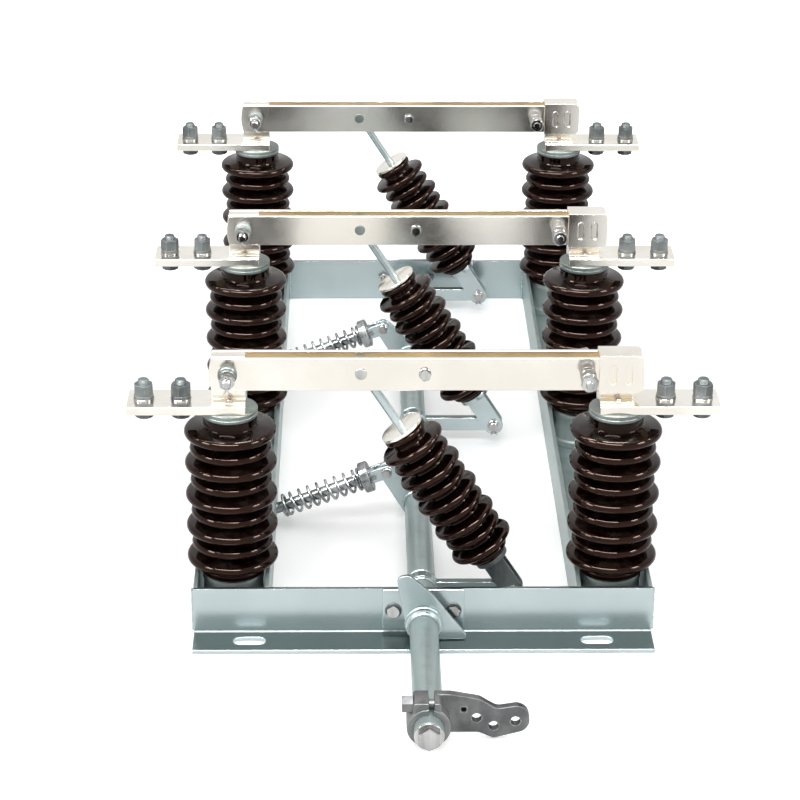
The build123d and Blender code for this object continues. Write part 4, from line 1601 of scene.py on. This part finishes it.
# ---- blades
@dataclass(frozen=True)
class Blade(Swinging):
    """One pole's double blade, with its cover and everything bolted to it."""

    kind: ClassVar[str] = "blade"
    face: float = 16 * MM
    level: float = 363.5 * MM
    contact_bolt: float = 220 * MM
    mid_bolt: Pair = (1 * MM, 364.5 * MM)
    cover_face: float = 18 * MM
    cover_slots: Pair = (254 * MM, 275 * MM)
    nut_out: float = 28 * MM
    lock_nut_out: float = 37.4 * MM
    split_pin_out: float = 48.5 * MM
    hinge_nut: float = 19 * MM
    bolt: float = 6 * MM
    pitch: float = 1.75 * MM

    def at(self, x: float, z: float, out: float = 0.0, side: int = 1) -> Vector:
        """A point beside the blade: out from the pole's plane, in front where side is 1."""
        return Vector((x, self.hinge.y - side * out, z))

    def build(self) -> None:
        """Dresses the bars and the cover and builds the fasteners."""
        self.soften(f"blade_{self.number}", Slot.TINNED, 0.9 * MM)
        self.soften(f"blade_cover_{self.number}", Slot.TINNED, 0.5 * MM)
        # Poles 2 and 3 get bright rings round their cover slots as painted highlights.
        if self.number > 1:
            self.slot_lips()
        bright, dark, cups = Shape(), Shape(), Shape()
        self.hinge_bolt(bright, cups)
        # The front pole's pin heads take the bright plate and the others the darker cap metal, a painted
        # difference of light between like heads.
        self.link_pin(bright if self.number == 1 else cups)
        self.mid_bolts(bright)
        self.contact_bolts(bright, dark)
        name = f"blade_bolts_{self.number}"
        self.fit(bright, f"{name}_bright", Slot.BRIGHT_BOLTS, (name,))
        self.fit(dark, f"{name}_dark", Slot.DARK_BOLTS)
        self.fit(cups, f"{name}_cups", Slot.CAP)

    def slot_lips(self) -> None:
        """Bright rings round the cover's slots, painted highlights on the slot edges of poles 2 and 3."""
        highlight_rims = Shape()
        half, radius = 9.5 * MM, 4.5 * MM
        for side in SIDES:
            for x in self.cover_slots:
                centre = self.at(x, self.level, self.cover_face, side)
                path = arc(centre + UP * half, radius, 0, 180, 9)
                path += arc(centre - UP * half, radius, 180, 360, 9)
                highlight_rims.sweep(path, [0.8 * MM] * len(path), 8, closed=True)
        self.fit(highlight_rims, f"cover_slot_lips_{self.number}", Slot.BRIGHT_BOLTS)

    def hinge_bolt(self, bright: Shape, cups: Shape) -> None:
        """The bolt that the blade turns on: cup washer, nuts, threaded ends and split pin.

        Args:
            bright: takes the nuts, threads and pin.
            cups: takes the cup washer.
        """
        x, z = self.hinge.x, self.hinge.z
        cup = in_mm(
            (6.2, 0), (12.4, 0), (13, 0.8), (13, 3.4), (12.2, 4.6), (11.4, 5.2), (11.4, 10.6), (10.4, 12),
            (6.2, 12))
        cups.turn(placed(self.at(x, z, self.face), FRONT), cup, 48, hollow=True)
        locked = placed(self.at(x, z, self.lock_nut_out), FRONT)
        bright.hexagon(locked, self.hinge_nut, 6.6 * MM, self.bolt, spin=42)
        front = placed(self.at(x, z, self.nut_out), FRONT)
        back = placed(self.at(x, z, self.face, -1), -FRONT)
        for place, length, spin in ((front, 24 * MM, 10), (back, 14 * MM, 25)):
            bright.nut(place, self.hinge_nut, 9 * MM, (self.bolt, self.pitch, length), spin)
        self.split_pin(bright, self.at(x, z, self.split_pin_out), self.bolt, 1.0 * MM)

    @staticmethod
    def split_pin(shape: Shape, at: Vector, reach: float, wire: float) -> None:
        """A split pin: an eye above a bolt and two bent legs below it.

        Args:
            shape: takes the pin.
            at: the middle of the hole that it passes.
            reach: the radius of what it passes.
            wire: its own radius.
        """
        eye = arc(at + UP * (reach + 2.6 * MM), 2.2 * MM, -60, 240, 12)
        shape.sweep(eye, [wire] * len(eye), 8)
        for side, turn in ((-1, 0.5), (1, 1.0)):
            start = at + Vector((side * 0.7 * wire, 0, reach + 1 * MM))
            leg = [start, at + Vector((side * 0.7 * wire, 0, -reach - 1 * MM))]
            for k in range(1, 6):
                bend = k / 5
                leg.append(leg[1] + Vector((side * turn * 6 * MM * bend ** 2, 0, -7 * MM * bend)))
            shape.sweep(leg, [wire] * len(leg), 8)

    def link_pin(self, heads: Shape) -> None:
        """The flat heads of the pin that carries the pull rod.

        Args:
            heads: takes the pin's heads.
        """
        joint = pivot(f"pull_{self.number}_swing")
        for place in both_sides(self.at(joint.x, joint.z), self.face):
            heads.disc(place, 8 * MM, 1.5 * MM, 0.5 * MM)

    def mid_bolts(self, bright: Shape) -> None:
        """The small bolt that ties the bars together at the middle.

        Args:
            bright: takes the bolt.
        """
        for place in both_sides(self.at(*self.mid_bolt), self.face):
            top = bright.washer(place, 4.2 * MM, 8.4 * MM, 1.4 * MM)
            bright.hexagon(top, 14 * MM, 6.2 * MM, spin=18)

    def contact_bolts(self, bright: Shape, dark: Shape) -> None:
        """The contact-pressure bolts: a bright sleeve, a dark washer and a nut on each side.

        Args:
            bright: takes the sleeves and nuts.
            dark: takes the washers.
        """
        sleeve = in_mm(
            (10.4, 0), (11, 0.6), (11, 7), (10.3, 8), (10.3, 17), (11, 18), (11, 23.4), (10.4, 24))
        centre = self.at(self.contact_bolt, self.level)
        thread = (self.bolt, self.pitch, 11.6 * MM)
        for side, place in zip(SIDES, both_sides(centre, self.face)):
            bright.turn(place, sleeve, 48)
            end = place @ Matrix.Translation(UP * 24 * MM)
            top = dark.washer(end, 5 * MM, 11 * MM, 2.2 * MM)
            bright.nut(top, 21 * MM, 9.6 * MM, thread, 15 * side)


# ---- pull rods
@dataclass(frozen=True)
class PullRod(Strut):
    """The ribbed porcelain rod that lifts one blade, with its metal ends."""

    kind: ClassVar[str] = "pull"
    seat: Pair = (127 * MM, 32 * MM)
    top: float = 105 * MM
    bottom: float = 332 * MM
    rod: float = 6 * MM
    eye: float = 12 * MM
    eye_half: float = 7.5 * MM
    fork_inner: float = 7 * MM
    fork_thick: float = 5 * MM
    fork_half: float = 15 * MM
    porcelain: ShedBody = ShedBody(
        length=227 * MM, core=25 * MM, rim=5 * MM,
        sheds=(
            (6 * MM, 31 * MM),
            *(((26 + 22.25 * i) * MM, (46 if i % 2 == 0 else 42) * MM) for i in range(9)),
            (219 * MM, 31 * MM),
        ),
        sides=72, rim_steps=7, blend=2.5 * MM)

    def build(self) -> None:
        """Builds the porcelain, the eye rod, the disc, the fork and the crank pin."""
        glazed, eye, disc, fork, pins = Shape(), Shape(), Shape(), Shape(), Shape()
        self.porcelain.draw(glazed, self.along(self.top))
        self.eye_rod(eye)
        disc.disc(self.along(self.top - 4 * MM), 31 * MM, 4 * MM, 1.2 * MM)
        self.fork(fork)
        self.pins(pins)
        name = f"pull_fittings_{self.number}"
        nodes = (f"pull_insulator_{self.number}",)
        self.fit(glazed, f"pull_porcelain_{self.number}", Slot.PORCELAIN, nodes)
        self.fit(eye, f"{name}_eye", Slot.GALVANISED, (name,))
        self.fit(disc, f"{name}_disc", Slot.TINNED)
        # The front pole's straps take the dark bolt finish as painted shade; the straps of all poles are
        # alike.
        strap_slot_front_shaded = Slot.DARK_BOLTS if self.number == 1 else Slot.GALVANISED
        self.fit(fork, f"{name}_fork", strap_slot_front_shaded, (), 0.8 * MM)
        self.fit(pins, f"{name}_pins", Slot.BRIGHT_BOLTS)

    def eye_rod(self, eye: Shape) -> None:
        """The rod with the eye round the link pin.

        Args:
            eye: takes the rod and its eye.
        """
        back = placed(self.hinge - FRONT * self.eye_half, FRONT)
        eye.washer(back, 5.2 * MM, self.eye, 2 * self.eye_half, 1 * MM)
        rod, length = self.rod / MM, self.top / MM - 9
        neck = in_mm((7.4, 0), (7, 6), (rod, 10), (rod, length))
        eye.turn(self.along(9 * MM), neck, 32)

    def fork(self, fork: Shape) -> None:
        """The foot under the porcelain and the two straps beside the crank.

        Args:
            fork: takes the foot and the straps.
        """
        way = self.way
        across = way.cross(FRONT)
        fork.disc(self.along(self.bottom), 24 * MM, 8 * MM, 1.5 * MM)
        high = self.hinge + way * (self.bottom + 4 * MM)
        lean = math.degrees(math.atan2(way.z, way.x))
        for side in SIDES:
            near = FRONT * side * self.fork_inner
            outline = [high + across * self.fork_half + near, high - across * self.fork_half + near]
            outline += arc(self.far + near, self.fork_half, lean - 90, lean + 90, 17)
            if (outline[1] - outline[2]).length > (outline[0] - outline[2]).length:
                outline[:2] = reversed(outline[:2])
            fork.slab(outline, FRONT * side * self.fork_thick)

    def pins(self, pins: Shape) -> None:
        """The crank pin with its head, washer and split pin.

        Args:
            pins: takes the pin.
        """
        outer = self.fork_inner + self.fork_thick
        for place in both_sides(self.far, outer):
            top = pins.washer(place, 6 * MM, 9.4 * MM, 1.5 * MM)
            pins.disc(top, 6.6 * MM, 3.5 * MM, 0.8 * MM)
        Blade.split_pin(pins, self.far + FRONT * (outer + 3.2 * MM), 6.4 * MM, 0.8 * MM)


# ---- closing springs
@dataclass(frozen=True)
class OverCentreSpring(Strut):
    """One over-centre spring, with its clevis, thrust disc and guide rod."""

    kind: ClassVar[str] = "spring"
    seat: Pair = (-208.5 * MM, 24 * MM)
    neck: float = 17 * MM
    disc_start: float = 26 * MM
    disc_end: float = 39 * MM
    disc_radius: float = 23.4 * MM
    coil: float = 15.5 * MM
    wire: float = 2.2 * MM
    turns: int = 10
    open_share: float = 0.79

    def build(self) -> None:
        """Builds the rod with its disc, the clevis, the pin heads and the coil."""
        rod, clevis, pins = Shape(), Shape(), Shape()
        self.rod(rod)
        self.clevis(clevis)
        for place in both_sides(self.hinge, 10 * MM):
            pins.disc(place, 7.5 * MM, 3 * MM, 0.9 * MM)
        name = f"spring_rod_{self.number}"
        self.fit(rod, f"{name}_bar", Slot.SPRING, (name,))
        self.fit(clevis, f"{name}_clevis", Slot.GALVANISED, (), 0.7 * MM)
        self.fit(pins, f"{name}_pins", Slot.BRIGHT_BOLTS)
        self.wind()

    def rod(self, rod: Shape) -> None:
        """The guide rod with its stepped thrust disc, turned as one.

        Args:
            rod: takes the rod.
        """
        reach = (self.far - self.hinge).length / MM + 18
        neck, big = self.neck / MM, self.disc_radius / MM
        near, far = self.disc_start / MM, self.disc_end / MM
        profile = in_mm(
            (10.4, neck), (11, neck + 0.6), (11, near), (big - 1, near), (big, near + 1), (big, far - 1),
            (big - 1, far), (8, far), (8, reach - 1.2), (6.8, reach))
        rod.turn(self.along(0), profile, 48)

    def clevis(self, clevis: Shape) -> None:
        """The two straps from the pin to the rod.

        Args:
            clevis: takes the straps.
        """
        reach, radius = 20 * MM, 10 * MM
        far = self.hinge + self.way * reach
        lean = math.degrees(math.atan2(self.way.z, self.way.x))
        outline = arc(self.hinge, radius, lean + 90, lean + 270, 15)
        outline += arc(far, radius, lean - 90, lean + 90, 15)
        for side in SIDES:
            inner = FRONT * side * 5 * MM
            clevis.slab([point + inner for point in outline], FRONT * side * 5 * MM)

    def wind(self) -> None:
        """The coil, its end turns wound close."""
        start = self.disc_end + self.wire
        end = (self.far - self.hinge).length - 8 * MM - self.wire
        dead = 2 * self.wire
        place = self.along(0)
        path = []
        per_turn = 30
        for k in range(self.turns * per_turn + 1):
            turn = k / per_turn
            live = min(max((turn - 1) / (self.turns - 2), 0), 1)
            closed = min(turn, 1) + min(max(turn - self.turns + 1, 0), 1)
            along = start + dead * closed + (end - start - 2 * dead) * live
            path.append(spoke(place, self.coil, 2 * math.pi * turn, along))
        coil = Shape()
        coil.sweep(path, [self.wire] * len(path), 12)
        name = f"coil_spring_{self.number}"
        piece = self.fit(coil, f"{name}_wound", Slot.SPRING, (name,))
        tuple(self.way)
        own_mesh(piece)


# ---- surroundings
@dataclass(frozen=True)
class Lamp:
    """A soft oblong lamp that faces the switch."""

    name: str
    place: Triple
    size: Pair
    watts: float
    only_shines: bool = False

    def light(self, target: Vector) -> None:
        """Hangs the lamp and turns it towards a target.

        Args:
            target: the place that it faces.
        """
        data = bpy.data.lights.new(self.name, "AREA")
        data.shape = "RECTANGLE"
        data.size, data.size_y = self.size
        data.energy = self.watts
        lamp = shown(self.name, data)
        lamp.location = self.place
        lamp.rotation_euler = (target - lamp.location).to_track_quat("-Z", "Y").to_euler()
        lamp.visible_diffuse = not self.only_shines


@dataclass(frozen=True)
class Studio:
    """A pale floor, plain light, and the camera."""

    ambient: float = 0.62
    floor_glow: float = 0.16
    floor_half: float = 14.0
    camera_place: Triple = (-0.0935, -3.7496, 1.7615)
    focal: float = 116.95
    pitch: float = math.radians(24.2126)
    yaw: float = math.radians(1.0969)
    roll: float = math.radians(0.378)
    lamps: tuple[Lamp, ...] = (
        Lamp("front lamp", (-0.6, -3.0, 4.0), (2.4, 1.2), 75),
        Lamp("left lamp", (-3.9, -2.2, 2.6), (1.6, 1.6), 55),
        Lamp("right lamp", (3.9, -2.2, 2.4), (1.6, 1.6), 45),
        Lamp("front strip", (-0.9, -2.6, 4.8), (4.4, 0.5), 560, only_shines=True),
        Lamp("left strip", (-3.8, -1.6, 3.8), (1.4, 0.5), 170, only_shines=True),
        Lamp("right strip", (3.8, -1.6, 3.8), (1.4, 0.5), 170, only_shines=True),
        Lamp("top lamp", (0.2, 0.6, 3.4), (2.6, 2.6), 30),
    )

    def build(self) -> None:
        """Sets up the floor, the world, the lamps and the camera."""
        self.floor()
        self.world()
        target = Vector((0, 0, 0.18))
        for lamp in self.lamps:
            lamp.light(target)
            LOG.info("%s hung", lamp.name)
        self.camera()
        bpy.context.scene.view_settings.view_transform = "Standard"

    def floor(self) -> None:
        """A pale floor, white to the eye, that keeps the switch's shadow."""
        half, low = self.floor_half, -0.5 * MM
        mesh = bpy.data.meshes.new("pale_floor")
        corners = [(-half, -half, low), (half, -half, low), (half, half, low), (-half, half, low)]
        mesh.from_pydata(corners, [], [(0, 1, 2, 3)])
        floor = shown("pale_floor", mesh)
        material, graph, shader = blank_material("pale_floor")
        clouds = graph.noise(graph.place(), 2.0)
        away = graph.add("ShaderNodeVectorMath", graph.place(), operation="LENGTH").outputs["Value"]
        fade = graph.spread(graph.step(away, 0.3, 1.6), self.floor_glow, 1.0)
        seen = graph.add("ShaderNodeLightPath").outputs["Is Camera Ray"]
        graph.fill(
            shader, base_color=graph.mix(clouds, tint("f4f4f4"), tint("fafafa")), roughness=0.9,
            specular_ior_level=0.0, emission_color=WHITE,
            emission_strength=graph.calc("MULTIPLY", fade, seen))
        mesh.materials.append(material)

    def world(self) -> None:
        """White to the eye and in reflections, plain ambient light otherwise."""
        world = bpy.data.worlds.new("plain_studio")
        world.use_nodes = True
        graph = Graph(world.node_tree)
        background = next(n for n in world.node_tree.nodes if n.type == "BACKGROUND")
        rays = graph.add("ShaderNodeLightPath")
        seen = rays.outputs["Is Camera Ray"]
        for kind in ("Is Glossy Ray", "Is Transmission Ray"):
            seen = graph.calc("MAXIMUM", seen, rays.outputs[kind])
        graph.fill(background, color=WHITE, strength=graph.spread(seen, self.ambient, 1.0))
        bpy.context.scene.world = world

    def camera(self) -> None:
        """The camera, a little left of the middle and looking down on the switch."""
        ahead = Vector((
            math.sin(self.yaw) * math.cos(self.pitch),
            math.cos(self.yaw) * math.cos(self.pitch),
            -math.sin(self.pitch),
        ))
        level = Vector((math.cos(self.yaw), -math.sin(self.yaw), 0))
        above = level.cross(ahead)
        right = level * math.cos(self.roll) + above * math.sin(self.roll)
        top = above * math.cos(self.roll) - level * math.sin(self.roll)
        turn = Matrix((right, top, -ahead)).transposed().to_4x4()
        data = bpy.data.cameras.new("camera")
        data.lens = self.focal
        data.sensor_width = 36
        data.clip_end = 100
        camera = shown("camera", data)
        camera.matrix_world = Matrix.Translation(self.camera_place) @ turn
        bpy.context.scene.camera = camera


def main() -> None:
    """Builds every sub-assembly, then the surroundings."""
    logging.basicConfig(level=logging.INFO, format="%(message)s")
    finishes = Finishes(Effects())
    parts = [WeldedFrame(finishes), OperatingShaft(finishes), OperatingLever(finishes)]
    parts += [ShaftBearing(finishes, "front_bearing", -1), ShaftBearing(finishes, "rear_bearing", 1)]
    for end in End:
        parts += [PostRow(finishes, end), TerminalRow(finishes, end)]
    for pole in POLES:
        parts += [Blade(finishes, pole), PullRod(finishes, pole)]
    parts += [OverCentreSpring(finishes, bay) for bay in BAYS]
    parts.append(Studio())
    for part in parts:
        part.build()
        LOG.info("%s built", type(part).__name__)


if __name__ == "__main__":
    main()
